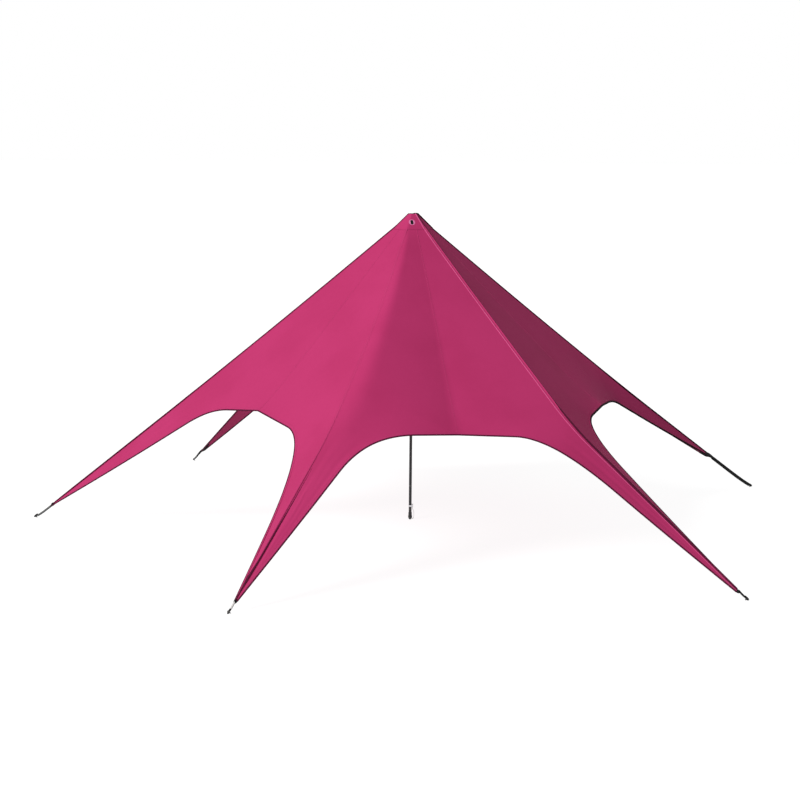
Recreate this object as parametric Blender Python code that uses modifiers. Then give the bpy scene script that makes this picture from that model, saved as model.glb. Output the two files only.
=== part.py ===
"""Six-pointed peak tent on one centre mast, pegged to the ground at its leg tips.

Metres, +Z up. The origin is the centre of the mast's foot on the ground. The middle of the
front panel faces -Y, and azimuths are measured from -Y towards +X.
"""
import math

import bmesh
import bpy
from mathutils import Matrix, Vector

# Driving dimensions
APEX_Z = 4.055            # flat top of the crown above the ground
PEG_CIRCLE_R = 5.0        # nominal distance from the mast to a peg
KNUCKLE_R = 2.91          # where a ridge leaves the roof and becomes a leg
KNUCKLE_Z = 1.74
VALANCE_R = 2.565         # foot of a panel's middle seam, on the scalloped edge
VALANCE_Z = 1.685
CORNER_R = 2.705          # corner of the scalloped edge, before it is rounded off
CORNER_Z = 1.665
CORNER_AZ = 22.98         # from the panel's middle, in degrees
KNUCKLE_BLEND = 0.40      # length on each side over which a ridge bends into its leg
RIDGE_SAG = 0.012         # how far a ridge hangs below a straight line
PANEL_SAG = 0.045         # how far a roof panel hollows at its middle seam
FLAP_SAG = 0.012
CLOTH = 0.006             # thickness of a gore, measured straight down
SEAM_SETBACK = 0.0004     # each gore stops this short of a seam line
SEAT = 0.0003             # clearance between pieces that touch

CROWN_R = 0.060           # flat top of the crown cap, to its corners
CAP_EDGE_R = 0.26         # lower edge of the crown cap, to its corners
CAP_SLOPE = 0.95          # the cap's ridges are a little steeper than the roof's
HALF_PANEL_COS = math.cos(math.radians(30.0))

MAST_R = 0.019
MAST_WALL = 0.002
MAST_JOINT_Z = 2.15       # where the two mast tubes meet inside their collar
COLLAR_R = 0.0235
COLLAR_LENGTH = 0.16

TIP_DROP_SHARE = 0.7      # drop of a flap at the end of the fabric, against its width there
SLEEVE_LENGTH = 0.075
SLEEVE_HALF_WIDTH = 0.015 # where the sleeve narrows to its strap
SLEEVE_HALF_THICK = 0.006
STRAP_WIDTH = 0.025
STRAP_THICK = 0.004
STRAP_PAST_PEG = 0.018
STRAP_EYE_Z = 0.018       # height at which a strap crosses its peg
PEG_R = 0.007
PEG_HEAD_R = 0.017
PEG_ABOVE_STRAP = 0.018
PEG_LENGTH = 0.12         # below the strap, before it is cut off at the ground

# Each leg as it is pitched: nominal azimuth, what the tip and the knuckle are turned by, how
# far out its peg stands, the length from the peg back to the end of the fabric, and the
# half width of the fabric there
LEGS = {
    "front_left": {"azimuth": -30.0, "tip_turn": -7.4, "knuckle_turn": -0.2, "reach": -0.505,
                   "tail": 0.155, "tip": 0.024},
    "front_right": {"azimuth": 30.0, "tip_turn": 5.8, "knuckle_turn": -2.2, "reach": 0.06,
                    "tail": 0.145, "tip": 0.034},
    "right": {"azimuth": 90.0, "tip_turn": 10.8, "knuckle_turn": -0.2, "reach": 0.475,
              "tail": 1.09, "tip": 0.058},
    "back_right": {"azimuth": 150.0, "tip_turn": -8.5, "knuckle_turn": 0.0, "reach": 0.465,
                   "tail": 0.80, "tip": 0.034},
    "back_left": {"azimuth": 210.0, "tip_turn": 2.1, "knuckle_turn": 0.0, "reach": -0.07,
                  "tail": 0.30, "tip": 0.034},
    "left": {"azimuth": 270.0, "tip_turn": -10.9, "knuckle_turn": -0.2, "reach": 0.01,
             "tail": 0.315, "tip": 0.028},
}
LEG_ORDER = list(LEGS)

# Each panel's scalloped edge as it is pitched: how far the foot of the middle seam is drawn
# up the roof, and for each corner its turn, its rise, how far it is let out, and the lengths
# over which it is rounded off, along the scallop and down the leg
EVEN_CORNER = {"turn": 0.0, "rise": 0.0, "out": 0.0, "along": 0.50, "down": 0.60}
EDGES = {
    "front": {"drawn_up": -0.04,
              "left": {"turn": -1.32, "rise": 0.039, "out": 0.192, "along": 0.56, "down": 0.52},
              "right": {"turn": -2.06, "rise": -0.039, "out": 0.267, "along": 0.42, "down": 0.94}},
    "right_front": {"drawn_up": 0.03,
                    "left": {"turn": -0.6, "rise": -0.03, "out": 0.0, "along": 0.52, "down": 0.78},
                    "right": {"turn": 0.3, "rise": -0.07, "out": 0.0, "along": 0.51, "down": 0.15}},
    "right_back": {"drawn_up": 0.0, "left": EVEN_CORNER, "right": EVEN_CORNER},
    "back": {"drawn_up": 0.0, "left": EVEN_CORNER,
             "right": {"turn": 1.5, "rise": 0.0, "out": 0.0, "along": 0.50, "down": 0.60}},
    "left_back": {"drawn_up": 0.0, "left": EVEN_CORNER, "right": EVEN_CORNER},
    "left_front": {"drawn_up": 0.105,
                   "left": {"turn": -1.5, "rise": -0.03, "out": 0.0, "along": 0.38, "down": 0.38},
                   "right": {"turn": -0.9, "rise": -0.09, "out": 0.0, "along": 0.42, "down": 1.30}},
}

ROOF_ROWS = 9             # rows of a gore that end on the middle seam
VALANCE_ROWS = 6          # rows that end on the scalloped edge above the corner
LEG_ROWS = 7              # rows across a leg's flap
GORE_COLUMNS = 5
ROOF_RIDGE_R = 2.45       # ridge point that the foot of the middle seam is joined to
CORNER_RIDGE_R = 2.98     # ridge point that the corner is joined to


def clear_scene():
    for thing in list(bpy.data.objects):
        bpy.data.objects.remove(thing, do_unlink=True)


def new_collection(name):
    group = bpy.data.collections.new(name)
    bpy.context.scene.collection.children.link(group)
    return group


def make_material(name, colour, roughness, metallic=0.0):
    material = bpy.data.materials.new(name)
    material.use_nodes = True
    shader = material.node_tree.nodes["Principled BSDF"]
    shader.inputs["Base Color"].default_value = (*colour, 1.0)
    shader.inputs["Roughness"].default_value = roughness
    shader.inputs["Metallic"].default_value = metallic
    return material


def add_object(name, mesh, material, group):
    thing = bpy.data.objects.new(name, mesh)
    group.objects.link(thing)
    if material:
        mesh.materials.append(material.copy())
        mesh.materials[0].name = name + "_" + material.name
    return thing


def face_outwards(bm):
    bmesh.ops.recalc_face_normals(bm, faces=bm.faces[:])
    if bm.calc_volume(signed=True) < 0.0:
        bmesh.ops.reverse_faces(bm, faces=bm.faces[:])


def bmesh_to_object(name, bm, material, group, smooth_angle=None):
    face_outwards(bm)
    mesh = bpy.data.meshes.new(name)
    bm.to_mesh(mesh)
    bm.free()
    if smooth_angle:
        mesh.shade_smooth()
        mesh.set_sharp_from_angle(angle=math.radians(smooth_angle))
    return add_object(name, mesh, material, group)


def add_cutter(name, bm, group):
    cutter = bmesh_to_object(name, bm, None, group)
    cutter.hide_render = True
    cutter.display_type = "WIRE"
    return cutter


def cut(thing, cutter):
    modifier = thing.modifiers.new("cut_" + cutter.name, "BOOLEAN")
    modifier.operation = "DIFFERENCE"
    modifier.solver = "EXACT"
    modifier.object = cutter


def polar(radius, azimuth, height):
    angle = math.radians(azimuth)
    return Vector((radius * math.sin(angle), -radius * math.cos(angle), height))


# Turned pieces: a closed profile of (radius, height) spun round the mast's axis
def turned(name, profile, material, group, steps=24):
    mesh = bpy.data.meshes.new(name)
    points = [(radius, 0.0, height) for radius, height in profile]
    edges = [(i, i + 1) for i in range(len(points) - 1)]
    if profile[0][0] > 0.0:
        edges.append((len(points) - 1, 0))
    mesh.from_pydata(points, edges, [])
    thing = add_object(name, mesh, material, group)
    screw = thing.modifiers.new("turn", "SCREW")
    screw.axis = "Z"
    screw.steps = steps
    screw.render_steps = steps
    screw.use_merge_vertices = True
    screw.merge_threshold = 0.00005
    return thing


# Points along start, corner, end, with the corner rounded off over a length on each side
class RoundedPath:
    def __init__(self, start, corner, end, along, down):
        self.start, self.corner, self.end = start, corner, end
        self.before = (corner - start).length - along
        self.after = (end - corner).length - down
        self.enter = corner + (start - corner).normalized() * along
        self.leave = corner + (end - corner).normalized() * down
        straight = (self.leave - self.enter).length
        self.turn = (along + down + straight) / 2.0
        self.length = self.before + self.turn + self.after
        self.middle = self.before + self.turn / 2.0

    def at(self, distance):
        if distance <= self.before:
            return self.start.lerp(self.enter, distance / self.before)
        if distance < self.before + self.turn:
            t = (distance - self.before) / self.turn
            return self.enter.lerp(self.corner, t).lerp(self.corner.lerp(self.leave, t), t)
        rest = (distance - self.before - self.turn) / self.after
        return self.leave.lerp(self.end, rest)

    def distance_at_radius(self, radius):
        low, high = 0.0, self.length
        for _ in range(40):
            middle = (low + high) / 2.0
            point = self.at(middle)
            if math.hypot(point.x, point.y) < radius:
                low = middle
            else:
                high = middle
        return low


# The straight line of a leg, from its knuckle to the ground, and the strap's eye on it
class Leg:
    def __init__(self, name):
        values = LEGS[name]
        self.name = name
        self.azimuth = values["azimuth"]
        self.tip_half_width = values["tip"]
        self.knuckle = polar(KNUCKLE_R, self.azimuth + values["knuckle_turn"], KNUCKLE_Z)
        ground = polar(PEG_CIRCLE_R + values["reach"], self.azimuth + values["tip_turn"], 0.0)
        self.eye = ground.lerp(self.knuckle, STRAP_EYE_Z / KNUCKLE_Z)
        self.along = (self.eye - self.knuckle).normalized()
        self.across = self.along.cross(Vector((0.0, 0.0, 1.0))).normalized()
        self.lift = self.across.cross(self.along).normalized()
        self.fabric_end = self.eye - self.along * values["tail"]
        crown = polar(CAP_EDGE_R, self.azimuth, cap_height(CAP_EDGE_R))
        self.ridge = RoundedPath(crown, self.knuckle, self.fabric_end, KNUCKLE_BLEND, KNUCKLE_BLEND)

    def tip_edge(self, side):
        drop = Vector((0.0, 0.0, self.tip_half_width * TIP_DROP_SHARE))
        return self.fabric_end + self.across * side * self.tip_half_width - drop

    def ridge_point(self, distance):
        share = min(distance / self.ridge.middle, 1.0)
        return self.ridge.at(distance) - Vector((0.0, 0.0, RIDGE_SAG * math.sin(math.pi * share)))

    # Turns a piece's own axes across the leg, along it and square to its slope
    def basis(self):
        rows = Matrix((self.across, self.lift.cross(self.across), self.lift))
        return Matrix.Translation(self.eye) @ rows.transposed().to_4x4()


def cap_height(radius):
    return APEX_Z - (radius - CROWN_R) * CAP_SLOPE


# A gore reaches from a panel's middle seam to one ridge, and down that leg to its tip
def gore_rows(panel, panel_azimuth, leg, side):
    hang = EDGES[panel]
    bend = hang["left"] if side < 0.0 else hang["right"]
    corner = polar(CORNER_R + bend["out"], panel_azimuth + side * (CORNER_AZ + bend["turn"]),
                   CORNER_Z + bend["rise"])
    crown_middle = polar(CAP_EDGE_R * HALF_PANEL_COS, panel_azimuth, cap_height(CAP_EDGE_R))
    seam_foot = polar(VALANCE_R, panel_azimuth, VALANCE_Z)
    seam_foot += (crown_middle - seam_foot).normalized() * hang["drawn_up"]
    edge = RoundedPath(seam_foot, corner, leg.tip_edge(side), bend["along"], bend["down"])
    roof_end = leg.ridge.distance_at_radius(ROOF_RIDGE_R)
    corner_end = leg.ridge.distance_at_radius(CORNER_RIDGE_R)
    rows = []
    for i in range(ROOF_ROWS):
        part = i / ROOF_ROWS
        sag = PANEL_SAG * math.sin(math.pi * part)
        rows.append((crown_middle.lerp(seam_foot, part), leg.ridge_point(part * roof_end), sag))
    for i in range(VALANCE_ROWS):
        part = i / VALANCE_ROWS
        high = leg.ridge_point(roof_end + part * (corner_end - roof_end))
        rows.append((edge.at(part * edge.middle), high, 0.0))
    for i in range(LEG_ROWS + 1):
        part = i / LEG_ROWS
        low = edge.at(edge.middle + part * (edge.length - edge.middle))
        high = leg.ridge_point(corner_end + part * (leg.ridge.length - corner_end))
        rows.append((low, high, FLAP_SAG * math.sin(math.pi * part)))
    return rows


def make_gore(name, rows, material, group):
    bm = bmesh.new()
    bmesh.ops.create_grid(bm, x_segments=len(rows) - 1, y_segments=GORE_COLUMNS, size=0.5)
    for vertex in bm.verts:
        row = round((vertex.co.x + 0.5) * (len(rows) - 1))
        t = vertex.co.y + 0.5
        low, high, sag = rows[row]
        inward = (high - low).normalized() * SEAM_SETBACK
        high = high - inward
        if row < ROOF_ROWS + 1:
            low = low + inward
        if row == 0:
            drop = (low + high) / 2.0
            step = Vector((drop.x, drop.y, 0.0)).normalized() * SEAM_SETBACK * 2.0
            low, high = low + step, high + step
        vertex.co = low.lerp(high, t) - Vector((0.0, 0.0, sag * (1.0 - t * t)))
    extruded = bmesh.ops.extrude_face_region(bm, geom=bm.faces[:])
    lower = [item for item in extruded["geom"] if isinstance(item, bmesh.types.BMVert)]
    bmesh.ops.translate(bm, verts=lower, vec=(0.0, 0.0, -CLOTH))
    return bmesh_to_object(name, bm, material, group, smooth_angle=50.0)


def make_canopy(legs, material, group):
    for index, panel in enumerate(EDGES):
        azimuth = index * 60.0
        left_leg = legs[LEG_ORDER[index]]
        right_leg = legs[LEG_ORDER[(index + 1) % len(LEG_ORDER)]]
        make_gore(panel + "_gore_left", gore_rows(panel, azimuth, left_leg, -1.0), material, group)
        make_gore(panel + "_gore_right", gore_rows(panel, azimuth, right_leg, 1.0), material, group)


# Crown cap: a hexagonal lid of doubled cloth with one oval eyelet in its front face
EYELET_X = -0.045
EYELET_OUT = 0.145        # distance of the eyelet in front of the mast's axis
EYELET_HOLE = (0.022, 0.056)
EYELET_RIM = 0.007
EYELET_THICK = 0.003


def front_face_frame():
    inner = CROWN_R * HALF_PANEL_COS
    outer = CAP_EDGE_R * HALF_PANEL_COS
    slope = (APEX_Z - cap_height(CAP_EDGE_R)) / (outer - inner)
    centre = Vector((EYELET_X, -EYELET_OUT, APEX_Z - (EYELET_OUT - inner) * slope))
    down = Vector((0.0, -1.0, -slope)).normalized()
    across = Vector((1.0, 0.0, 0.0))
    out = down.cross(across).normalized()
    if out.z < 0.0:
        out = -out
    return centre, across, down, out


def oval_prism(width, length, low, high, steps=10):
    centre, across, down, out = front_face_frame()
    half_run = (length - width) / 2.0
    bm = bmesh.new()
    ring = []
    for end in (1.0, -1.0):
        for i in range(steps + 1):
            angle = math.pi * i / steps
            x = end * math.cos(angle) * width / 2.0
            y = end * (math.sin(angle) * width / 2.0 + half_run)
            ring.append(bm.verts.new(centre + across * x + down * y + out * low))
    face = bm.faces.new(ring)
    raised = bmesh.ops.extrude_face_region(bm, geom=[face])
    top = [item for item in raised["geom"] if isinstance(item, bmesh.types.BMVert)]
    bmesh.ops.translate(bm, verts=top, vec=out * (high - low))
    bmesh.ops.recalc_face_normals(bm, faces=bm.faces[:])
    return bm


def make_crown_cap(material, group, cutters):
    depth = APEX_Z - cap_height(CAP_EDGE_R)
    bm = bmesh.new()
    cone = bmesh.ops.create_cone(bm, cap_ends=True, segments=6, radius1=CAP_EDGE_R, radius2=CROWN_R,
                                 depth=depth)
    first = max(bm.verts, key=lambda vertex: (round(vertex.co.length, 6), vertex.co.x))
    turn = math.atan2(first.co.y, first.co.x)
    bmesh.ops.rotate(bm, verts=cone["verts"], cent=(0, 0, 0), matrix=Matrix.Rotation(-turn, 3, "Z"))
    bmesh.ops.translate(bm, verts=cone["verts"], vec=(0.0, 0.0, APEX_Z - depth / 2.0))
    bottom = [face for face in bm.faces if face.normal.z < -0.9]
    bmesh.ops.delete(bm, geom=bottom, context="FACES_ONLY")
    extruded = bmesh.ops.extrude_face_region(bm, geom=bm.faces[:])
    lower = [item for item in extruded["geom"] if isinstance(item, bmesh.types.BMVert)]
    bmesh.ops.translate(bm, verts=lower, vec=(0.0, 0.0, -CLOTH))
    cap = bmesh_to_object("crown_cap", bm, material, group)
    width, length = EYELET_HOLE
    cut(cap, add_cutter("eyelet_slot_cutter", oval_prism(width, length, -0.05, 0.05), cutters))
    return cap


def make_eyelet(material, group, cutters):
    width, length = EYELET_HOLE
    rim = oval_prism(width + 2 * EYELET_RIM, length + 2 * EYELET_RIM, SEAT, SEAT + EYELET_THICK)
    eyelet = bmesh_to_object("crown_eyelet", rim, material, group)
    cut(eyelet, add_cutter("eyelet_hole_cutter", oval_prism(width, length, -0.04, 0.04), cutters))
    return eyelet


# Mast: head plate, two tubes in a joint collar, and a blunt foot
HEAD_TOP_Z = APEX_Z - CLOTH - SEAT
HEAD_R = 0.044
HEAD_PLATE = 0.012
HEAD_SOCKET = 0.07
FOOT_SEAT_Z = 0.045       # where the lower tube stands inside the foot


def make_mast(steel, fitting, group):
    bore = MAST_R - MAST_WALL
    tube_top = HEAD_TOP_Z - HEAD_PLATE - SEAT
    middle = MAST_JOINT_Z
    for name, low, high in (("mast_lower_tube", FOOT_SEAT_Z + SEAT, middle - SEAT / 2),
                            ("mast_upper_tube", middle + SEAT / 2, tube_top)):
        turned(name, [(MAST_R, high), (MAST_R, low), (bore, low), (bore, high)], steel, group)
    inner = MAST_R + SEAT
    turned("mast_joint_collar", [
        (COLLAR_R - 0.001, middle + COLLAR_LENGTH / 2), (COLLAR_R, middle + COLLAR_LENGTH / 2 - 0.004),
        (COLLAR_R, middle - COLLAR_LENGTH / 2 + 0.004), (COLLAR_R - 0.001, middle - COLLAR_LENGTH / 2),
        (inner, middle - COLLAR_LENGTH / 2), (inner, middle + COLLAR_LENGTH / 2)], fitting, group)
    plate = HEAD_TOP_Z - HEAD_PLATE
    turned("mast_head", [
        (0.0, HEAD_TOP_Z), (HEAD_R - 0.003, HEAD_TOP_Z), (HEAD_R, HEAD_TOP_Z - 0.003),
        (HEAD_R, plate + 0.002), (HEAD_R - 0.003, plate), (inner + 0.004, plate - 0.004),
        (inner + 0.003, plate - HEAD_SOCKET), (inner, plate - HEAD_SOCKET), (inner, plate), (0.0, plate)],
        fitting, group)
    turned("mast_foot", [
        (0.0, FOOT_SEAT_Z), (inner, FOOT_SEAT_Z), (inner, 0.095), (inner + 0.003, 0.095),
        (0.0235, 0.058), (0.0265, 0.044), (0.0265, 0.030), (0.022, 0.014), (0.0135, 0.0), (0.0, 0.0)],
        fitting, group)


# Foot strap: a buckle clamped to the mast, and webbing that bows down from it to the foot
BUCKLE_AZ = 78.0
BUCKLE_Z = 0.185
BUCKLE_HEIGHT = 0.045
BUCKLE_BAND = 0.0025
BUCKLE_DEPTH = 0.016
BUCKLE_WIDTH = 0.026
FOOT_STRAP_WIDTH = 0.020
FOOT_STRAP_THICK = 0.0025


def buckle_turn():
    return Matrix.Rotation(math.radians(BUCKLE_AZ - 90.0), 4, "Z")


def make_buckle(material, group, cutters):
    outer = MAST_R + SEAT + BUCKLE_BAND
    bm = bmesh.new()
    ring = bmesh.ops.create_cone(bm, cap_ends=True, segments=24, radius1=outer, radius2=outer, depth=0.022)
    bmesh.ops.translate(bm, verts=ring["verts"], vec=(0.0, 0.0, BUCKLE_Z))
    band = bmesh_to_object("foot_strap_buckle", bm, material, group)
    bm = bmesh.new()
    block = bmesh.ops.create_cube(bm, size=1.0)
    bmesh.ops.scale(bm, verts=block["verts"], vec=(BUCKLE_DEPTH + 0.006, BUCKLE_WIDTH, BUCKLE_HEIGHT))
    centre = MAST_R + SEAT + (BUCKLE_DEPTH + 0.006) / 2 - 0.002
    bmesh.ops.translate(bm, verts=block["verts"], vec=(centre, 0.0, BUCKLE_Z))
    bmesh.ops.transform(bm, matrix=buckle_turn(), verts=block["verts"])
    body = add_cutter("buckle_body", bm, cutters)
    join = band.modifiers.new("join_body", "BOOLEAN")
    join.operation = "UNION"
    join.solver = "EXACT"
    join.object = body
    bm = bmesh.new()
    bore = bmesh.ops.create_cone(bm, cap_ends=True, segments=48, radius1=MAST_R + SEAT,
                                 radius2=MAST_R + SEAT, depth=0.2)
    bmesh.ops.translate(bm, verts=bore["verts"], vec=(0.0, 0.0, BUCKLE_Z))
    cut(band, add_cutter("buckle_bore_cutter", bm, cutters))
    return band


def make_foot_strap(material, group):
    top = BUCKLE_Z - BUCKLE_HEIGHT / 2 - SEAT
    route = [(0.030, top), (0.030, top - 0.012), (0.044, 0.120), (0.050, 0.085), (0.049, 0.040),
             (0.038, 0.0135), (0.0245, 0.0115)]
    curve = bpy.data.curves.new("foot_strap", "CURVE")
    curve.dimensions = "2D"
    curve.fill_mode = "NONE"
    curve.resolution_u = 5
    spline = curve.splines.new("BEZIER")
    spline.bezier_points.add(len(route) - 1)
    for point, (out, up) in zip(spline.bezier_points, route):
        point.co = (out, up, 0.0)
        point.handle_left_type = "AUTO"
        point.handle_right_type = "AUTO"
    curve.extrude = FOOT_STRAP_WIDTH / 2
    guide = bpy.data.objects.new("foot_strap_guide", curve)
    group.objects.link(guide)
    mesh = bpy.data.meshes.new_from_object(guide.evaluated_get(bpy.context.evaluated_depsgraph_get()))
    bpy.data.objects.remove(guide, do_unlink=True)
    upright = buckle_turn() @ Matrix.Rotation(math.radians(90.0), 4, "X")
    mesh.transform(upright)
    mesh.materials.clear()
    strap = add_object("foot_strap", mesh, material, group)
    thick = strap.modifiers.new("thickness", "SOLIDIFY")
    thick.thickness = FOOT_STRAP_THICK
    thick.offset = 0.0
    return strap


# Leg hardware, all in line with the leg: webbing sleeve, strap, and the peg it loops round
def hull(name, points, material, group):
    bm = bmesh.new()
    for point in points:
        bm.verts.new(point)
    bmesh.ops.convex_hull(bm, input=bm.verts[:])
    return bmesh_to_object(name, bm, material, group)


def make_tip_webbing(leg, material, group):
    start = leg.along * SEAT * 2
    ridge = leg.fabric_end + start
    left = leg.tip_edge(-1.0) + start
    right = leg.tip_edge(1.0) + start
    under = Vector((0.0, 0.0, -CLOTH))
    points = [ridge, left, right, left + under, right + under]
    end = leg.fabric_end + leg.along * SLEEVE_LENGTH
    for x in (-1.0, 1.0):
        for z in (-1.0, 1.0):
            points.append(end + leg.across * x * SLEEVE_HALF_WIDTH + leg.lift * z * SLEEVE_HALF_THICK)
    return hull(leg.name + "_tip_webbing", points, material, group)


def make_strap(leg, material, group, cutters):
    start = (leg.eye - leg.fabric_end).length - SLEEVE_LENGTH - SEAT
    length = start + STRAP_PAST_PEG
    bm = bmesh.new()
    box = bmesh.ops.create_cube(bm, size=1.0)["verts"]
    bmesh.ops.scale(bm, verts=box, vec=(STRAP_WIDTH, length, STRAP_THICK))
    shift = Matrix.Translation(leg.along * (length / 2 - start))
    bmesh.ops.transform(bm, verts=box, matrix=shift @ leg.basis())
    strap = bmesh_to_object(leg.name + "_strap", bm, material, group)
    bm = bmesh.new()
    bore = bmesh.ops.create_cone(bm, cap_ends=True, segments=32, radius1=PEG_R + SEAT,
                                 radius2=PEG_R + SEAT, depth=STRAP_WIDTH * 2)["verts"]
    bmesh.ops.transform(bm, verts=bore, matrix=leg.basis())
    cut(strap, add_cutter(leg.name + "_strap_eye_cutter", bm, cutters))
    return strap


def make_peg(leg, material, group, cutters):
    head = PEG_ABOVE_STRAP
    peg = turned(leg.name + "_peg", [
        (0.0, head), (PEG_HEAD_R * 0.6, head - 0.001), (PEG_HEAD_R * 0.95, head - 0.005),
        (PEG_HEAD_R, head - 0.009), (PEG_HEAD_R * 0.9, head - 0.013), (PEG_R, head - 0.014),
        (PEG_R, -PEG_LENGTH), (0.0, -PEG_LENGTH)], material, group, steps=16)
    peg.matrix_world = leg.basis()
    bm = bmesh.new()
    ground = bmesh.ops.create_cube(bm, size=PEG_LENGTH * 4)["verts"]
    bmesh.ops.translate(bm, verts=ground, vec=(leg.eye.x, leg.eye.y, -PEG_LENGTH * 2))
    cut(peg, add_cutter(leg.name + "_ground_cutter", bm, cutters))
    return peg


def main():
    clear_scene()
    group = new_collection("peak_tent")
    cutters = new_collection("cutters")
    cloth = make_material("rose_cloth", (0.50, 0.045, 0.16), 0.62)
    black = make_material("black_webbing", (0.012, 0.012, 0.013), 0.75)
    grey = make_material("grey_webbing", (0.38, 0.38, 0.39), 0.7)
    steel = make_material("black_painted_tube", (0.016, 0.016, 0.018), 0.42, 0.2)
    fitting = make_material("black_fitting", (0.02, 0.02, 0.022), 0.5, 0.1)
    zinc = make_material("zinc_plate", (0.55, 0.55, 0.57), 0.35, 1.0)
    legs = {name: Leg(name) for name in LEG_ORDER}
    make_canopy(legs, cloth, group)
    make_crown_cap(cloth, group, cutters)
    make_eyelet(zinc, group, cutters)
    make_mast(steel, fitting, group)
    make_buckle(zinc, group, cutters)
    make_foot_strap(grey, group)
    for leg in legs.values():
        make_tip_webbing(leg, black, group)
        make_strap(leg, grey, group, cutters)
        make_peg(leg, fitting, group, cutters)


main()
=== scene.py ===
# Peak tent on one centre mast: cloth, webbing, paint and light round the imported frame
import math

import bmesh
import bpy
import numpy as np
from mathutils import Matrix, Vector


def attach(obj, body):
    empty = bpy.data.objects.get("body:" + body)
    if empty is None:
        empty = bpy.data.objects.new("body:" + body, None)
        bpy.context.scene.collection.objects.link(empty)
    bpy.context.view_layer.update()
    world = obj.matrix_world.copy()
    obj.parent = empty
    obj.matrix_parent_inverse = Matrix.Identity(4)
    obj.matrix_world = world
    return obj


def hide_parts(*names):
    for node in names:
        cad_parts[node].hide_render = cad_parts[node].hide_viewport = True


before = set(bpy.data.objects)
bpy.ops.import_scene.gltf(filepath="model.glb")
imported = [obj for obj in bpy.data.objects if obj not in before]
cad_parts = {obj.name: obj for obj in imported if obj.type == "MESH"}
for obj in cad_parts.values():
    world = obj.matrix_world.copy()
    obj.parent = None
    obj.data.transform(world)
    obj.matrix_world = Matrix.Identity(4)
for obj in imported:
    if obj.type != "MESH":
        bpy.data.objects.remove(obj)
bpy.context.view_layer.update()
print("frame loaded:", len(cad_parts), "nodes")

# The part's own measures, in metres; azimuths run from -Y towards +X
tent = {
    "apex": 4.055, "pegCircle": 5.0, "knuckleOut": 2.91, "knuckleUp": 1.74,
    "seamFootOut": 2.565, "seamFootUp": 1.685, "cornerOut": 2.705, "cornerUp": 1.665,
    "cornerTurn": 22.98, "knuckleBlend": 0.40, "ridgeSag": 0.012,
    "flapSag": 0.012, "crownOut": 0.060, "capOut": 0.26, "capSlope": 0.95,
    "roofRidgeOut": 2.45, "cornerRidgeOut": 2.98, "strapEyeUp": 0.018, "tipDrop": 0.7,
}
legPitch = {
    "front_left": {"azimuth": -30.0, "tipTurn": -7.4, "knuckleTurn": -0.2, "reach": -0.505,
                   "tail": 0.155, "tip": 0.024},
    "front_right": {"azimuth": 30.0, "tipTurn": 5.8, "knuckleTurn": -2.2, "reach": 0.06,
                    "tail": 0.145, "tip": 0.034},
    "right": {"azimuth": 90.0, "tipTurn": 10.8, "knuckleTurn": -0.2, "reach": 0.475,
              "tail": 1.09, "tip": 0.058, "droop": 0.016},
    "back_right": {"azimuth": 150.0, "tipTurn": -8.5, "knuckleTurn": 0.0, "reach": 0.465,
                   "tail": 0.80, "tip": 0.034},
    "back_left": {"azimuth": 210.0, "tipTurn": 2.1, "knuckleTurn": 0.0, "reach": -0.07,
                  "tail": 0.30, "tip": 0.034},
    "left": {"azimuth": 270.0, "tipTurn": -10.9, "knuckleTurn": -0.2, "reach": 0.01,
             "tail": 0.315, "tip": 0.028, "droop": 0.016},
}
# Each panel's corners: turn in degrees, rise, shift outwards, and the lengths they are rounded off over
evenCorner = (0.0, 0.0, 0.0, 0.50, 0.60)
panelHang = {
    "front": {"drawnUp": -0.04, "left": (-1.32, 0.039, 0.192, 0.56, 0.52),
              "right": (-2.06, -0.039, 0.267, 0.42, 0.94)},
    "right_front": {"drawnUp": 0.03, "left": (-0.6, -0.03, 0.0, 0.52, 0.78),
                    "right": (0.3, -0.07, 0.0, 0.51, 0.15)},
    "right_back": {"drawnUp": 0.0, "left": evenCorner, "right": evenCorner},
    "back": {"drawnUp": 0.0, "left": evenCorner, "right": (1.5, 0.0, 0.0, 0.50, 0.60)},
    "left_back": {"drawnUp": 0.0, "left": evenCorner, "right": evenCorner},
    "left_front": {"drawnUp": 0.105, "left": (-1.5, -0.03, 0.0, 0.38, 0.38),
                   "right": (-0.9, -0.09, 0.0, 0.42, 1.30)},
}
legNames = list(legPitch)
panelNames = list(panelHang)
halfPanelCos = math.cos(math.radians(30.0))
up = np.array((0.0, 0.0, 1.0))


def polar(out, azimuth, height):
    angle = math.radians(azimuth)
    return np.array((out * math.sin(angle), -out * math.cos(angle), height))


def unit(vectors):
    return vectors / np.maximum(np.linalg.norm(vectors, axis=-1, keepdims=True), 1e-9)


def smooth(value, low=0.0, high=1.0):
    t = np.clip((value - low) / (high - low), 0.0, 1.0)
    return t * t * (3.0 - 2.0 * t)


def tangents(path):
    return unit(np.gradient(path, axis=0))


# The same vectors, each turned to point up
def upwards(vectors):
    return vectors * np.sign(vectors[:, 2:3])


# The distance run along a path, at each of its points
def runAlong(path):
    return np.concatenate(([0.0], np.cumsum(np.linalg.norm(np.diff(path, axis=0), axis=1))))


# Values kept along a run, read off at other places on it
def resampled(values, run, places):
    return np.stack([np.interp(places, run, values[:, k]) for k in range(3)], 1)


def roundSection(sides, wide=1.0, high=1.0):
    turns = [2 * math.pi * k / sides for k in range(sides)]
    return [(math.cos(turn) * wide, math.sin(turn) * high) for turn in turns]


# Quads between rings of points, one after another, and back to the first if closed
def ringFaces(rows, count, closed=False):
    faces = []
    for i in range(rows if closed else rows - 1):
        here, there = i * count, (i + 1) % rows * count
        faces += [(here + j, here + (j + 1) % count, there + (j + 1) % count, there + j)
                  for j in range(count)]
    return faces


# What closes the first and last ring
def endFaces(rows, count):
    return [tuple(range(count))[::-1], tuple((rows - 1) * count + j for j in range(count))]


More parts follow.
